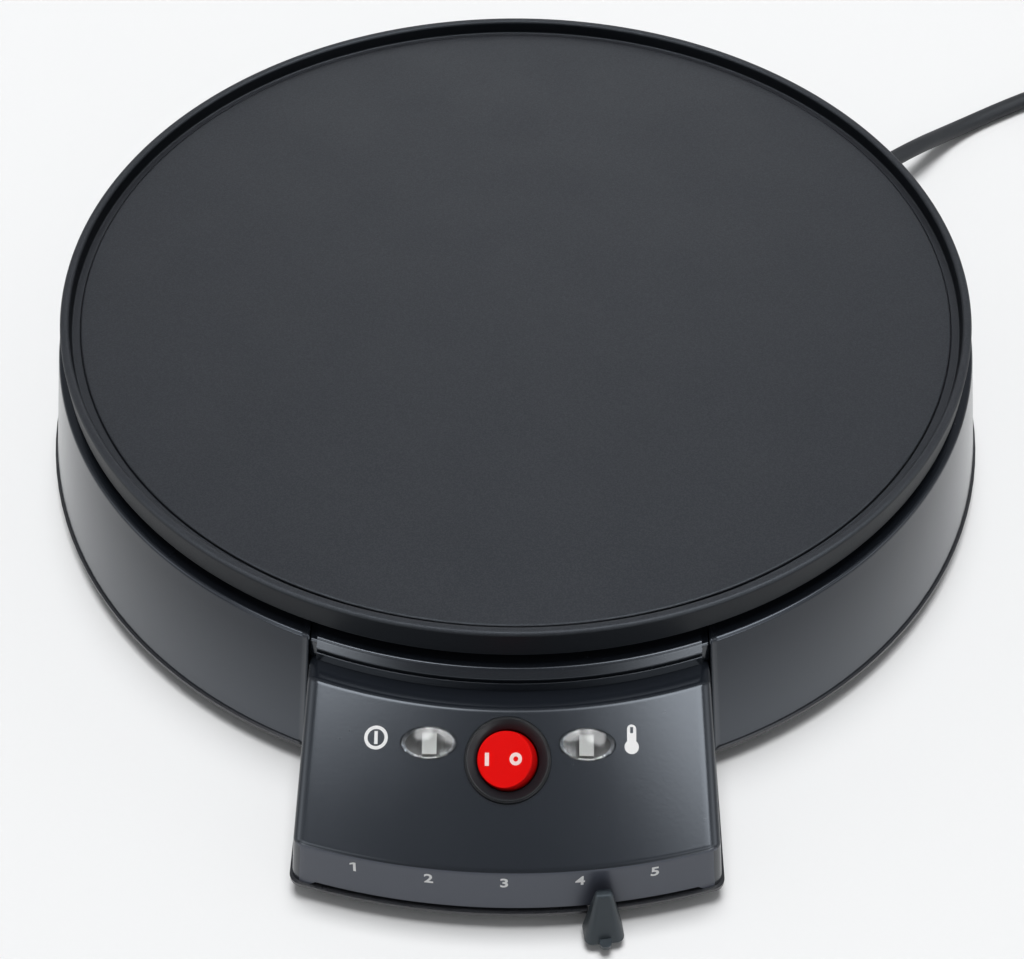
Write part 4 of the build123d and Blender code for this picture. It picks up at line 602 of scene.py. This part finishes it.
def turned(shape, path, placement=None, count=96, oval=1.0, closed=False):
    """Skin turned about an upright axis from (radius, height) points; gives its rings of corners."""
    rows = []
    for radius, height in path:
        steps = count if radius > 1e-6 else 1
        ring = []
        for step in range(steps):
            turn = math.tau * step / steps
            point = Vector((radius * math.cos(turn), oval * radius * math.sin(turn), height))
            ring.append(shape.verts.new(placement @ point if placement else point))
        rows.append(ring)
    for here, onward in zip(rows, rows[1:] + rows[:1] if closed else rows[1:]):
        for step in range(count):
            after = (step + 1) % count
            corners = (here[step % len(here)], here[after % len(here)],
                       onward[after % len(onward)], onward[step % len(onward)])
            shape.faces.new(tuple(dict.fromkeys(corners)))
    return rows


def new_piece(name, shape, material, body="root", crease=35):
    """Finished piece from its skin: smooth, with every turn sharper than the crease kept crisp."""
    bmesh.ops.recalc_face_normals(shape, faces=shape.faces)
    mesh = bpy.data.meshes.new(name)
    shape.to_mesh(mesh)
    shape.free()
    mesh.shade_smooth()
    mesh.set_sharp_from_angle(angle=math.radians(crease))
    return dress(new_object(name, mesh), material, body)


def carve(piece, cutters, crease=35):
    """Cut closed skins out of a piece; new corners lie on the cuts' outlines, which are kept crisp."""
    bmesh.ops.recalc_face_normals(cutters, faces=cutters.faces)
    mesh = bpy.data.meshes.new("cutter")
    cutters.to_mesh(mesh)
    cutters.free()
    tool = new_object("cutter", mesh)
    cut = piece.modifiers.new("cut", "BOOLEAN")
    cut.object = tool
    cut.solver = "EXACT"
    carved = final_mesh(piece)
    piece.modifiers.clear()
    carved.set_sharp_from_angle(angle=math.radians(crease))
    blank = piece.data
    known = {corner.co.to_tuple(6) for source in (blank, mesh) for corner in source.vertices}
    fresh = [corner.co.to_tuple(6) not in known for corner in carved.vertices]
    for edge in carved.edges:
        if fresh[edge.vertices[0]] and fresh[edge.vertices[1]]:
            edge.use_edge_sharp = True
    piece.data = carved
    carved.name = blank.name
    bpy.data.meshes.remove(blank)
    bpy.data.objects.remove(tool)
    bpy.data.meshes.remove(mesh)


# -------- mains cord
def coil_points():
    """Spline points of the put-away turns: outer and inner on the floor, then inner and outer on top."""
    shrink = 0.75 + 0.25 * math.cos(2 * math.pi / COIL_STEPS)  # the spline runs inside its points
    total = COIL_START + COIL_TURNS * 360
    steps = round(total / 360 * COIL_STEPS)
    points = []
    for step in range(steps + 1):
        swept = total * step / steps
        inner = way_along(swept, *COIL_INWARD) * (1 - way_along(swept, *COIL_OUTWARD))
        radius = (COIL_OUTER + (COIL_INNER - COIL_OUTER) * inner) / shrink
        rise = way_along(swept, *COIL_RISE)
        height = COIL_LOW + (COIL_HIGH - COIL_LOW) * rise * rise * (3 - 2 * rise)
        azimuth = math.radians(COIL_START - swept)
        points.append((COIL_CENTRE.x + radius * math.cos(azimuth),
                       COIL_CENTRE.y + radius * math.sin(azimuth), height))
    return points


def mains_cord():
    """Round cord on one smooth open spline, from the drum over the coil to the plug."""
    points = CORD_ROUTE + coil_points() + PLUG_ROUTE
    curve = bpy.data.curves.new("mains_cord", "CURVE")
    curve.dimensions = "3D"
    curve.bevel_depth = CORD_RADIUS
    curve.bevel_resolution = 6
    curve.resolution_u = 8
    curve.use_fill_caps = True
    spline = curve.splines.new("NURBS")
    spline.points.add(len(points) - 1)
    for place, point in zip(spline.points, points):
        place.co = (*point, 1)
    spline.order_u = 3
    spline.use_endpoint_u = True
    piece = dress(new_object("mains_cord", curve), "black_rubber")
    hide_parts("power_cord", "cord_coil", "plug_lead")


# -------- hotplate and drum
def blind_boss(shape, spot, radius, foot, hole, hole_top, count):
    """Round boss under the hotplate with a blind screw hole."""
    top = PLATE_UNDERSIDE + BOSS_OVERLAP
    turned(shape, [(0, top), (radius, top), (radius, foot), (hole, foot), (hole, hole_top), (0, hole_top)],
           Matrix.Translation(spot), count=count)


def cast_hotplate():
    """Hotplate turned from its section: rim, drip channel and element rib, with the bosses under it."""
    shape = bmesh.new()
    section = rounded_path([
        (0, PLATE_FACE, 0), (CHANNEL_RADIUS, PLATE_FACE, 0.0008), (CHANNEL_RADIUS, CHANNEL_FLOOR, 0.0004),
        (RIM_INNER_RADIUS, CHANNEL_FLOOR, 0.0006), (RIM_INNER_RADIUS, RIM_TOP, 0.0011),
        (RIM_RADIUS, RIM_TOP, 0.0012), (RIM_RADIUS, SKIRT_FOOT, 0.0005), (RIM_INNER_RADIUS, SKIRT_FOOT, 0),
        (RIM_INNER_RADIUS, PLATE_UNDERSIDE, 0), (RIB_OUTER_RADIUS, PLATE_UNDERSIDE, 0),
        (RIB_OUTER_RADIUS, RIB_FOOT, 0.0010), (RIB_INNER_RADIUS, RIB_FOOT, 0.0010),
        (RIB_INNER_RADIUS, PLATE_UNDERSIDE, 0), (0, PLATE_UNDERSIDE, 0),
    ])
    turned(shape, section, Matrix.Translation(AXIS), count=360)
    for azimuth in SPACER_AZIMUTHS:
        blind_boss(shape, round_the_axis(SPACER_RADIUS, math.radians(azimuth), 0),
                   radius=0.0070, foot=0.0456, hole=0.0022, hole_top=0.0540, count=32)
    for side in (-1, 1):
        blind_boss(shape, AXIS + Vector((FUSE_BOSS_OFFSET * side, 0, 0)),
                   radius=0.0050, foot=0.0480, hole=0.0021, hole_top=0.0560, count=24)
    piece = new_piece("cast_hotplate", shape, "hotplate_coating")
    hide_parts("hotplate")


def drafted_half(height):
    """Half width of the pod at a height."""
    return POD_HALF - (height - HOUSING_FLOOR) * POD_DRAFT


def seam_bead(reach):
    """How far the drum's wall stands out at a distance from its cut edge: a rounded edge, then a low bead."""
    fall = way_along(reach, CUT_EDGE_WIDTH, BEAD_END)
    bead = BEAD_HEIGHT * (1 - fall) * (1 - BEAD_HOLLOW * fall)
    edge = max(CUT_EDGE_WIDTH - reach, 0.0) / CUT_EDGE_ROUNDING
    return bead - CUT_EDGE_ROUNDING * (1 - math.sqrt(1 - edge**2))


def drum_stations(spaces=220):
    """Stations round the drum: (distance from its nearer cut edge, side or 0, share of the way round)."""
    left = [(reach, 1, 0.0) for reach in SEAM_STATIONS]
    middle = [(SEAM_END, 0, space / spaces) for space in range(spaces + 1)]
    right = [(reach, -1, 1.0) for reach in reversed(SEAM_STATIONS)]
    return left + middle + right


def drum_shell():
    """Outer drum: drafted wall, rounded edge and stepped top ring, open at the front for the pod."""
    shape = bmesh.new()
    lean = (DRUM_FOOT_RADIUS - DRUM_TOP_RADIUS) / (HOUSING_TOP - HOUSING_FLOOR)
    under_ring = DRUM_TOP_RADIUS + lean * (HOUSING_TOP - TOP_RING_UNDERSIDE) - DRUM_WALL
    section = rounded_path([
        (DRUM_FOOT_RADIUS, HOUSING_FLOOR, 0), (DRUM_TOP_RADIUS, HOUSING_TOP, DRUM_EDGE_ROUNDING),
        (PLATE_RECESS_RADIUS, HOUSING_TOP, 0.0004), (PLATE_RECESS_RADIUS, PLATE_RECESS_FLOOR, 0),
        (HEAT_OPENING_RADIUS, PLATE_RECESS_FLOOR, 0), (HEAT_OPENING_RADIUS, TOP_RING_UNDERSIDE, 0),
        (under_ring, TOP_RING_UNDERSIDE, 0), (DRUM_FOOT_RADIUS - DRUM_WALL, HOUSING_FLOOR, 0),
    ], steps=10)
    rings = []
    for reach, side, share in drum_stations():
        ring = []
        for place, (radius, height) in enumerate(section):
            opening = math.asin((drafted_half(height) + SEAM_GAP) / radius)
            start = opening + SEAM_END / radius
            azimuth = start + (math.tau - 2 * start) * share
            if side:
                azimuth = side * (opening + reach / radius)
            proud = seam_bead(reach) if place < DRUM_OUTSIDE_POINTS else 0.0
            raised = proud * way_along(height, *BEAD_LIFT_HEIGHTS)
            if radius > BEAD_INNER_RADIUS:
                radius += proud
            ring.append(round_the_axis(radius, FRONT + azimuth, height + raised))
        rings.append(ring)
    loft(shape, rings)
    collar = rounded_path([(INLET_BORE, INLET_BACK, 0), (INLET_COLLAR, INLET_BACK, 0),
                           (INLET_COLLAR, INLET_FACE, 0.0006), (INLET_BORE, INLET_FACE, 0)])
    turned(shape, collar, axis_frame(INLET_AZIMUTH, INLET_HEIGHT), count=64, closed=True)
    piece = new_piece("drum_shell", shape, "drum_gloss", crease=40)
    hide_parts("drum_housing")


# -------- control pod
def pod_stations(spaces=96, edge_steps=8):
    """Stations across the pod: (inset from the side, drop of the rounding, share of the half width)."""
    turns = [math.pi / 2 * step / edge_steps for step in range(edge_steps + 1)]
    edge = [(POD_SIDE_SOFTNESS * (1 - math.sin(turn)), POD_SIDE_ROUNDING * (1 - math.cos(turn)))
            for turn in turns]
    left = [(inset, drop, -1) for inset, drop in reversed(edge)]
    right = [(inset, drop, 1) for inset, drop in edge]
    slot_ends = {side * (SLOT_END + step) for side in (-1, 1) for step in (-0.001, 0.001)}
    shares = sorted({round(-1 + 2 * space / spaces, 5) for space in range(1, spaces)} | slot_ends)
    return left + [(POD_SIDE_SOFTNESS, 0.0, share) for share in shares] + right


def outward_normals(path):
    """Direction out of the pod at each point of its outline."""
    normals = []
    for place in range(len(path)):
        along = path[min(place + 1, len(path) - 1)] - path[max(place - 1, 0)]
        normals.append(Vector((along.y, -along.x)).normalized())
    return normals


def control_pod():
    """Control pod: front band, sloping panel, valley and the side walls, rounded along its sides."""
    outer = rounded_path([
        (BAND_FOOT_RADIUS, HOUSING_FLOOR, 0), (PANEL_LOW_RADIUS, PANEL_LOW_HEIGHT, 0.0022),
        (PANEL_HIGH_RADIUS, PANEL_HIGH_HEIGHT, 0.0030), (VALLEY_RADIUS, VALLEY_HEIGHT, 0.0006),
        (POD_REAR_RADIUS, VALLEY_REAR_HEIGHT, 0),
    ], steps=8)
    inner = [
        Vector((POD_REAR_RADIUS, VALLEY_UNDERSIDE)),
        Vector((RIDGE_RADIUS, VALLEY_UNDERSIDE)),
        Vector((PANEL_HIGH_RADIUS, PANEL_HIGH_UNDERSIDE)),
        Vector((PANEL_LOW_RADIUS - POD_WALL, PANEL_LOW_UNDERSIDE)),
        Vector((BAND_FOOT_RADIUS - POD_WALL, HOUSING_FLOOR)),
    ]
    normals = outward_normals(outer)
    section = outer + inner
    rings = []
    for inset, drop, share in pod_stations():
        ring = []
        in_side_wall = abs(share) == 1 and inset < POD_WALL
        for place, (radius, height) in enumerate(section):
            if place < len(outer):
                radius -= normals[place].x * drop
                height -= normals[place].y * drop
            if place == 0 or place >= len(outer) and in_side_wall:
                height = HOUSING_FLOOR
            azimuth = share * math.asin((drafted_half(height) - inset) / radius)
            if place in (0, len(section) - 1):
                lift = SLOT_HEIGHT * way_along(abs(share), SLOT_END, SLOT_FULL)
                height += lift
                radius -= lift * BAND_LEAN
            ring.append(round_the_axis(radius, FRONT + azimuth, height))
        rings.append(ring)
    shape = bmesh.new()
    loft(shape, rings)
    piece = new_piece("control_pod", shape, "black_gloss")
    carve(piece, pod_openings())
    satin_front_band_and_painted_light(piece)
    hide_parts("control_housing")


def pod_openings():
    """Skins of the switch's dish and hole and of the two oval lens seats."""
    cutters = bmesh.new()
    switch = [(0, -CUTTER_DEPTH), (SWITCH_HOLE, -CUTTER_DEPTH), (SWITCH_HOLE, -SWITCH_DISH_DEPTH),
              (SWITCH_DISH, -SWITCH_DISH_DEPTH), (SWITCH_DISH, CUTTER_HEIGHT), (0, CUTTER_HEIGHT)]
    turned(cutters, switch, panel_frame(0, SWITCH_RADIUS), count=128)
    neck = LENS_NECK + LENS_PLAY
    seat = LENS_REACH + LENS_PLAY
    opening = [(0, -CUTTER_DEPTH), (neck, -CUTTER_DEPTH), (neck, -LENS_SEAT_DEPTH), (seat, -LENS_SEAT_DEPTH)]
    opening += [(seat + out, height) for out, height in SEAT_MOUTH] + [(0, CUTTER_HEIGHT)]
    for offset in (-LENS_OFFSET, LENS_OFFSET):
        turned(cutters, opening, panel_frame(offset, LENS_RADIUS), oval=LENS_SEAT_OVAL)
    return cutters


def satin_front_band_and_painted_light(piece):
    """Give the steep faces at the pod's very front the satin finish, short of its side edges; their lighter
    colour is painted light from the front.
    """
    piece.data.materials.append(MATERIALS["black_satin"])
    for face in piece.data.polygons:
        away = face.center - AXIS
        in_front = away.to_2d().length > SATIN_INNER_RADIUS and abs(away.x) < POD_HALF - SATIN_SIDE_GAP
        if in_front and abs(face.normal.z) < SATIN_UPWARD:
            face.material_index = 1


def ridge_piece(name, section, end_gap, columns=96):
    """Ring sector between the pod's sides, from its section."""
    shape = bmesh.new()
    rings = []
    for column in range(columns + 1):
        ring = []
        for radius, height in rounded_path(section, steps=8):
            limit = math.asin((drafted_half(height) - end_gap) / radius)
            ring.append(round_the_axis(radius, FRONT + limit * (2 * column / columns - 1), height))
        rings.append(ring)
    loft(shape, rings)
    new_piece(name, shape, "black_gloss")


def pod_ridge():
    """Raised ridge behind the valley, grooved under its leaning face, with a lower step at each end."""
    groove = RIDGE_RADIUS - RIDGE_GROOVE_DEPTH
    ridge_piece("pod_ridge", [
        (POD_REAR_RADIUS, RIDGE_REAR_FOOT, 0), (RIDGE_RADIUS, RIDGE_FOOT, 0),
        (RIDGE_RADIUS, RIDGE_GROOVE_LOW, 0.0002), (groove, RIDGE_GROOVE_LOW, 0),
        (groove, RIDGE_GROOVE_HIGH, 0), (RIDGE_RADIUS, RIDGE_GROOVE_HIGH, 0.0003),
        (RIDGE_CREST_RADIUS, HOUSING_TOP, 0.0012), (POD_REAR_RADIUS, HOUSING_TOP, 0),
    ], RIDGE_END_GAP)
    step_radius = RIDGE_RADIUS - RIDGE_END_DROP
    step_top = HOUSING_TOP - RIDGE_END_DROP
    ridge_piece("ridge_end_steps", [
        (POD_REAR_RADIUS, RIDGE_REAR_FOOT, 0), (step_radius, RIDGE_FOOT, 0),
        (step_radius - RIDGE_END_LEAN, step_top, 0.0008), (POD_REAR_RADIUS, step_top, 0),
    ], 0.0)


# -------- switch and lenses
def switch_bezel():
    """Round switch housing: a broad funnel of a rim, the well and the barrel behind the panel."""
    shape = bmesh.new()
    section = rounded_path([
        (0, -ROCKER_WELL_DEPTH, 0), (ROCKER_WELL, -ROCKER_WELL_DEPTH, 0),
        (ROCKER_WELL, -ROCKER_WELL_LIP_DEPTH, 0.0004), (BEZEL_MOUTH, BEZEL_HEIGHT, 0.0006),
        (BEZEL_RIM, BEZEL_RIM_HEIGHT, 0.0005), (BEZEL_RIM, -SWITCH_DISH_DEPTH, 0),
        (SWITCH_BARREL, -SWITCH_DISH_DEPTH, 0), (SWITCH_BARREL, -SWITCH_DEPTH, 0.0008), (0, -SWITCH_DEPTH, 0),
    ])
    turned(shape, section, panel_frame(0, SWITCH_RADIUS), count=128)
    piece = new_piece("switch_bezel", shape, "black_bezel")
    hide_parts("switch_body")


def rocker_frame():
    """Placement of the rocker at rest, its origin on the pivot: switched on, left side down."""
    return panel_frame(0, SWITCH_RADIUS, -ROCKER_PIVOT_DEPTH) @ Matrix.Rotation(-ROCKER_TILT, 4, "Y")


def rocker_top(across):
    """Height of the rocker's hollow top above its pivot."""
    bottom = ROCKER_TOP - FINGER_HOLLOW_DEPTH
    hollow = bottom + FINGER_HOLLOW_RADIUS - math.sqrt(FINGER_HOLLOW_RADIUS**2 - across**2)
    return min(hollow, ROCKER_TOP)


def red_rocker():
    """Round rocker with a hollow for the fingertip across its top."""
    shape = bmesh.new()
    section = [(0, ROCKER_TOP)] + [(row, ROCKER_TOP) for row in ROCKER_TOP_ROWS]
    section += rounded_path([(0, ROCKER_TOP, 0), (ROCKER_TOP_REACH, ROCKER_TOP, 0.0008),
                             (ROCKER_SHOULDER_REACH, ROCKER_SHOULDER, 0)], steps=8)[1:-1]
    section += [(math.sqrt(ROCKER_SWING**2 - height**2), height) for height in ROCKER_KEEL_HEIGHTS]
    section += [(0, ROCKER_KEEL_HEIGHTS[-1])]
    turned(shape, section)
    for corner in shape.verts:
        corner.co.z = min(corner.co.z, rocker_top(corner.co.x))
    shape.transform(rocker_frame())
    piece = new_piece("red_rocker", shape, "red_gloss", "rocker")
    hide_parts("rocker_button")


def lens(name, node, offset):
    """Oval clear lens with a low dome, a rounded rim and a neck down to its lamp."""
    shape = bmesh.new()
    top = [(0, LENS_HEIGHT)] + [(LENS_REACH * step / LENS_STEPS, LENS_HEIGHT)
                                for step in range(1, LENS_STEPS + 1)]
    rows = turned(shape, top + [(LENS_REACH, -LENS_SEAT_DEPTH), (LENS_NECK, -LENS_SEAT_DEPTH),
                                (LENS_NECK, -LENS_DEPTH), (0, -LENS_DEPTH)], oval=LENS_OVAL)
    for corner in shape.verts:
        sag = LENS_DOME - math.sqrt(LENS_DOME**2 - corner.co.x**2 - corner.co.y**2)
        corner.co.z = min(corner.co.z, LENS_HEIGHT - sag)
    edge = rows[LENS_STEPS]
    rim = [line for line in shape.edges if line.verts[0] in edge and line.verts[1] in edge]
    bmesh.ops.bevel(shape, geom=rim, offset=0.0006, segments=5, profile=0.5, affect="EDGES")
    shape.transform(panel_frame(offset, LENS_RADIUS))
    piece = new_piece(name, shape, "clear_lens", crease=50)
    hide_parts(node)


# -------- printed marks
def arc(radius, centre=(0, 0), start=0, stop=360, steps=48):
    """Points along an arc between two azimuths in degrees."""
    turns = [math.radians(start + (stop - start) * step / steps) for step in range(steps + 1)]
    return [(centre[0] + radius * math.cos(turn), centre[1] + radius * math.sin(turn)) for turn in turns]


def disc(radius, centre=(0, 0)):
    """Points round a circle."""
    return arc(radius, centre)[:-1]


def bar(width, height, centre=(0, 0)):
    """Corners of an upright rectangle."""
    x, y = centre
    return [(x - width / 2, y - height / 2), (x + width / 2, y - height / 2),
            (x + width / 2, y + height / 2), (x - width / 2, y + height / 2)]


def mark_mesh(name, curve, placement, body="root", top=None, material="white_print"):
    """Printed mark from its curve, laid on a flat face or on a top that curves across it."""
    curve.extrude = PRINT_THICKNESS / 2
    source = new_object(name + "_outline", curve)
    mesh = final_mesh(source)
    bpy.data.objects.remove(source)
    mesh.name = name
    if top:
        for corner in mesh.vertices:
            corner.co.z += top(corner.co.x)
    mesh.transform(placement)
    dress(new_object(name, mesh), material, body)


def flat_mark(name, outlines, placement, **where):
    """Printed mark from closed outlines; an outline inside another is a hole."""
    curve = bpy.data.curves.new(name, "CURVE")
    curve.dimensions = "2D"
    curve.fill_mode = "BOTH"
    for outline in outlines:
        spline = curve.splines.new("POLY")
        spline.points.add(len(outline) - 1)
        for place, point in zip(spline.points, outline):
            place.co = (*point, 0, 1)
        spline.use_cyclic_u = True
    mark_mesh(name, curve, placement, **where)


def panel_marks():
    """Power sign and thermometer, each beside its lens."""
    ring_and_bar = [disc(POWER_RING_OUTER), disc(POWER_RING_INNER), bar(*POWER_BAR)]
    flat_mark("power_mark", ring_and_bar, panel_frame(*POWER_MARK_SPOT, PRINT_LIFT))
    stem = arc(STEM_RADIUS, STEM_TOP, start=0, stop=180, steps=16)
    bulb = arc(BULB_RADIUS, BULB_SPOT, start=130, stop=410, steps=40)
    window = bar(*STEM_WINDOW, STEM_WINDOW_SPOT)
    flat_mark("temperature_mark", [stem + bulb, window], panel_frame(*TEMPERATURE_MARK_SPOT, PRINT_LIFT))


def dial_marks():
    """Digits 1 to 5 on the front band; the plain stroke of the 1 gets a flag."""
    flat_mark("dial_mark_1_flag", [DIGIT_ONE_FLAG], band_frame(DIAL_FIRST, DIAL_MARK_HEIGHT, PRINT_LIFT))
    for place, digit in enumerate("12345"):
        letter = bpy.data.curves.new("mark_" + digit, "FONT")
        letter.body = digit
        letter.size = DIGIT_SIZE
        letter.offset = DIGIT_WEIGHT
        letter.align_x = "CENTER"
        letter.align_y = "CENTER"
        azimuth = DIAL_FIRST + DIAL_STEP * place
        mark_mesh("dial_mark_" + digit, letter, band_frame(azimuth, DIAL_MARK_HEIGHT, PRINT_LIFT))


def rocker_marks():
    """I and O on the rocker's hollow top."""
    placement = rocker_frame() @ Matrix.Translation((0, 0, PRINT_LIFT))
    where = {"body": "rocker", "top": rocker_top, "material": "pale_print"}
    flat_mark("on_mark", [bar(*ON_BAR, ON_SPOT)], placement, **where)
    ring = [disc(OFF_RING_OUTER, OFF_SPOT), disc(OFF_RING_INNER, OFF_SPOT)]
    flat_mark("off_mark", ring, placement, **where)


# -------- floor, light and camera
# Each glow is a soft lamp as the surfaces mirror it: its direction, reach, strength and stretch.
ROUND = (1.0, 1.0, 1.0)
SKY_GLOWS = [
    ((0.66, -0.75, 0.0), 0.50, 9.5, ROUND),
    ((-0.66, -0.75, 0.0), 0.42, 9.5, ROUND),
    ((0.55, -0.55, 0.62), 0.50, 4.5, ROUND),
    ((-0.55, -0.55, 0.62), 0.50, 4.5, ROUND),
    ((0.88, -0.10, 0.42), 0.60, 2.6, ROUND),
    ((-0.88, -0.10, 0.42), 0.60, 2.6, ROUND),
    ((0.0, 0.83, 0.56), 0.35, 3.0, ROUND),
]
OVERHEAD_GLOWS = [
    ((0.60, -0.047, 0.799), 0.72, 60.0, (0.8, 2.2, 1.0)),
    ((-0.25, -0.049, 0.967), 0.35, 60.0, (0.8, 1.5, 1.0)),
]
# The overhead glows are dimmer above the middle and end past the sides, by how far a direction is sideways.
OVERHEAD_MIDDLE = {"start": 0.02, "stop": 0.27, "low": 0.10}
OVERHEAD_EDGE = {"start": 0.58, "stop": 0.45}
BRIGHTEST_MIRRORED = 9.0
MIRRORED_HORIZON = 0.40
MIRRORED_ZENITH = 0.34
SEEN_LEVEL = 0.88
IN_GLASS_LEVEL = 0.34
FILL_LEVEL = 0.30
CAMERA_TARGET = AXIS + Vector((-0.00127, 0, -0.03937))
CAMERA_DISTANCE = 0.700
CAMERA_TURN = math.radians(0.80)  # to the right of the front
CAMERA_RISE = math.radians(48.01)


def pale_floor():
    """Wide pale sheet under the appliance."""
    mesh = bpy.data.meshes.new("floor")
    shape = bmesh.new()
    bmesh.ops.create_grid(shape, x_segments=1, y_segments=1, size=6.0)
    shape.to_mesh(mesh)
    shape.free()
    floor = new_object("floor", mesh)
    material, tree, surface = new_material("pale_floor")
    cloud = noise(tree, object_point(tree), 3.0, 3.0)
    tone = blend_colours(tree, cloud, (0.80, 0.805, 0.81, 1), (0.83, 0.835, 0.84, 1))
    tree.links.new(tone, surface["Base Color"])
    surface["Roughness"].default_value = 0.6
    surface["Specular IOR Level"].default_value = 0.2
    mesh.materials.append(material)


def glow(tree, direction, centre, reach, strength, stretch):
    """Soft bright patch of the surroundings, strongest at its centre and narrowed by its stretch."""
    offset = vector_maths(tree, "SUBTRACT", direction, centre)
    offset = vector_maths(tree, "MULTIPLY", offset, stretch)
    away = shade(tree, "VectorMath", {"operation": "LENGTH"}, _0=offset).outputs["Value"]
    near = ramp(tree, away, reach, 0.0)
    return maths(tree, "MULTIPLY", maths(tree, "POWER", near, 2.0), strength)


def studio_sky():
    """Surroundings: pale where seen, an even fill on the object, and soft lamps in its reflections."""
    world = bpy.data.worlds.new("studio")
    bpy.context.scene.world = world
    world.use_nodes = True
    tree = world.node_tree
    ray = shade(tree, "LightPath").outputs
    direction = shade(tree, "TexCoord").outputs["Generated"]
    mirrored = ramp(tree, component(tree, direction, "Z"), 0.0, 1.0, MIRRORED_HORIZON, MIRRORED_ZENITH)
    for patch in SKY_GLOWS:
        mirrored = maths(tree, "ADD", mirrored, glow(tree, direction, *patch))
    sideways = maths(tree, "ABSOLUTE", component(tree, direction, "X"))
    boxed = maths(tree, "MULTIPLY", ramp(tree, sideways, **OVERHEAD_MIDDLE),
                  ramp(tree, sideways, **OVERHEAD_EDGE))
    for patch in OVERHEAD_GLOWS:
        mirrored = maths(tree, "ADD", mirrored, maths(tree, "MULTIPLY", glow(tree, direction, *patch), boxed))
    mirrored = maths(tree, "MINIMUM", mirrored, BRIGHTEST_MIRRORED)
    glossy = ray["Is Glossy Ray"]
    seen = maths(tree, "MULTIPLY", ray["Is Camera Ray"], SEEN_LEVEL)
    in_glass = maths(tree, "MULTIPLY", ray["Is Transmission Ray"], IN_GLASS_LEVEL)
    fill = maths(tree, "MULTIPLY", maths(tree, "SUBTRACT", 1.0, glossy), FILL_LEVEL)
    plain = maths(tree, "MAXIMUM", fill, maths(tree, "MAXIMUM", seen, in_glass))
    light = maths(tree, "ADD", maths(tree, "MULTIPLY", mirrored, glossy), plain)
    background = tree.nodes["Background"].inputs
    background["Color"].default_value = (0.98, 0.99, 1.0, 1)
    tree.links.new(light, background["Strength"])


def overhead_soft_box():
    """Broad square lamp high behind the appliance, aimed at the middle of the floor."""
    light = bpy.data.lights.new("overhead_soft_box", "AREA")
    light.size = 3.5
    light.energy = 592.0
    lamp = new_object("overhead_soft_box", light)
    lamp.location = (0, 1.25, 8.00)
    lamp.rotation_euler = (-lamp.location).to_track_quat("-Z", "Y").to_euler()
    lamp.visible_glossy = False


def front_camera():
    """Camera above the front, a touch to the right, aimed through the middle of the appliance."""
    camera = bpy.data.cameras.new("camera")
    camera.sensor_width = 36.0
    camera.lens = 62.98
    camera.clip_start = 0.01
    camera.clip_end = 50.0
    back = Vector((math.sin(CAMERA_TURN) * math.cos(CAMERA_RISE),
                   -math.cos(CAMERA_TURN) * math.cos(CAMERA_RISE), math.sin(CAMERA_RISE)))
    holder = new_object("camera", camera)
    holder.location = CAMERA_TARGET + back * CAMERA_DISTANCE
    holder.rotation_euler = back.to_track_quat("Z", "Y").to_euler()
    bpy.context.scene.camera = holder


# -------- the whole scene
mains_cord()
cast_hotplate()
drum_shell()
control_pod()
pod_ridge()
switch_bezel()
red_rocker()
lens("left_lens", "power_lens", -LENS_OFFSET)
lens("right_lens", "ready_lens", LENS_OFFSET)
panel_marks()
dial_marks()
rocker_marks()
pale_floor()
studio_sky()
overhead_soft_box()
front_camera()
bpy.context.scene.view_settings.view_transform = "Standard"
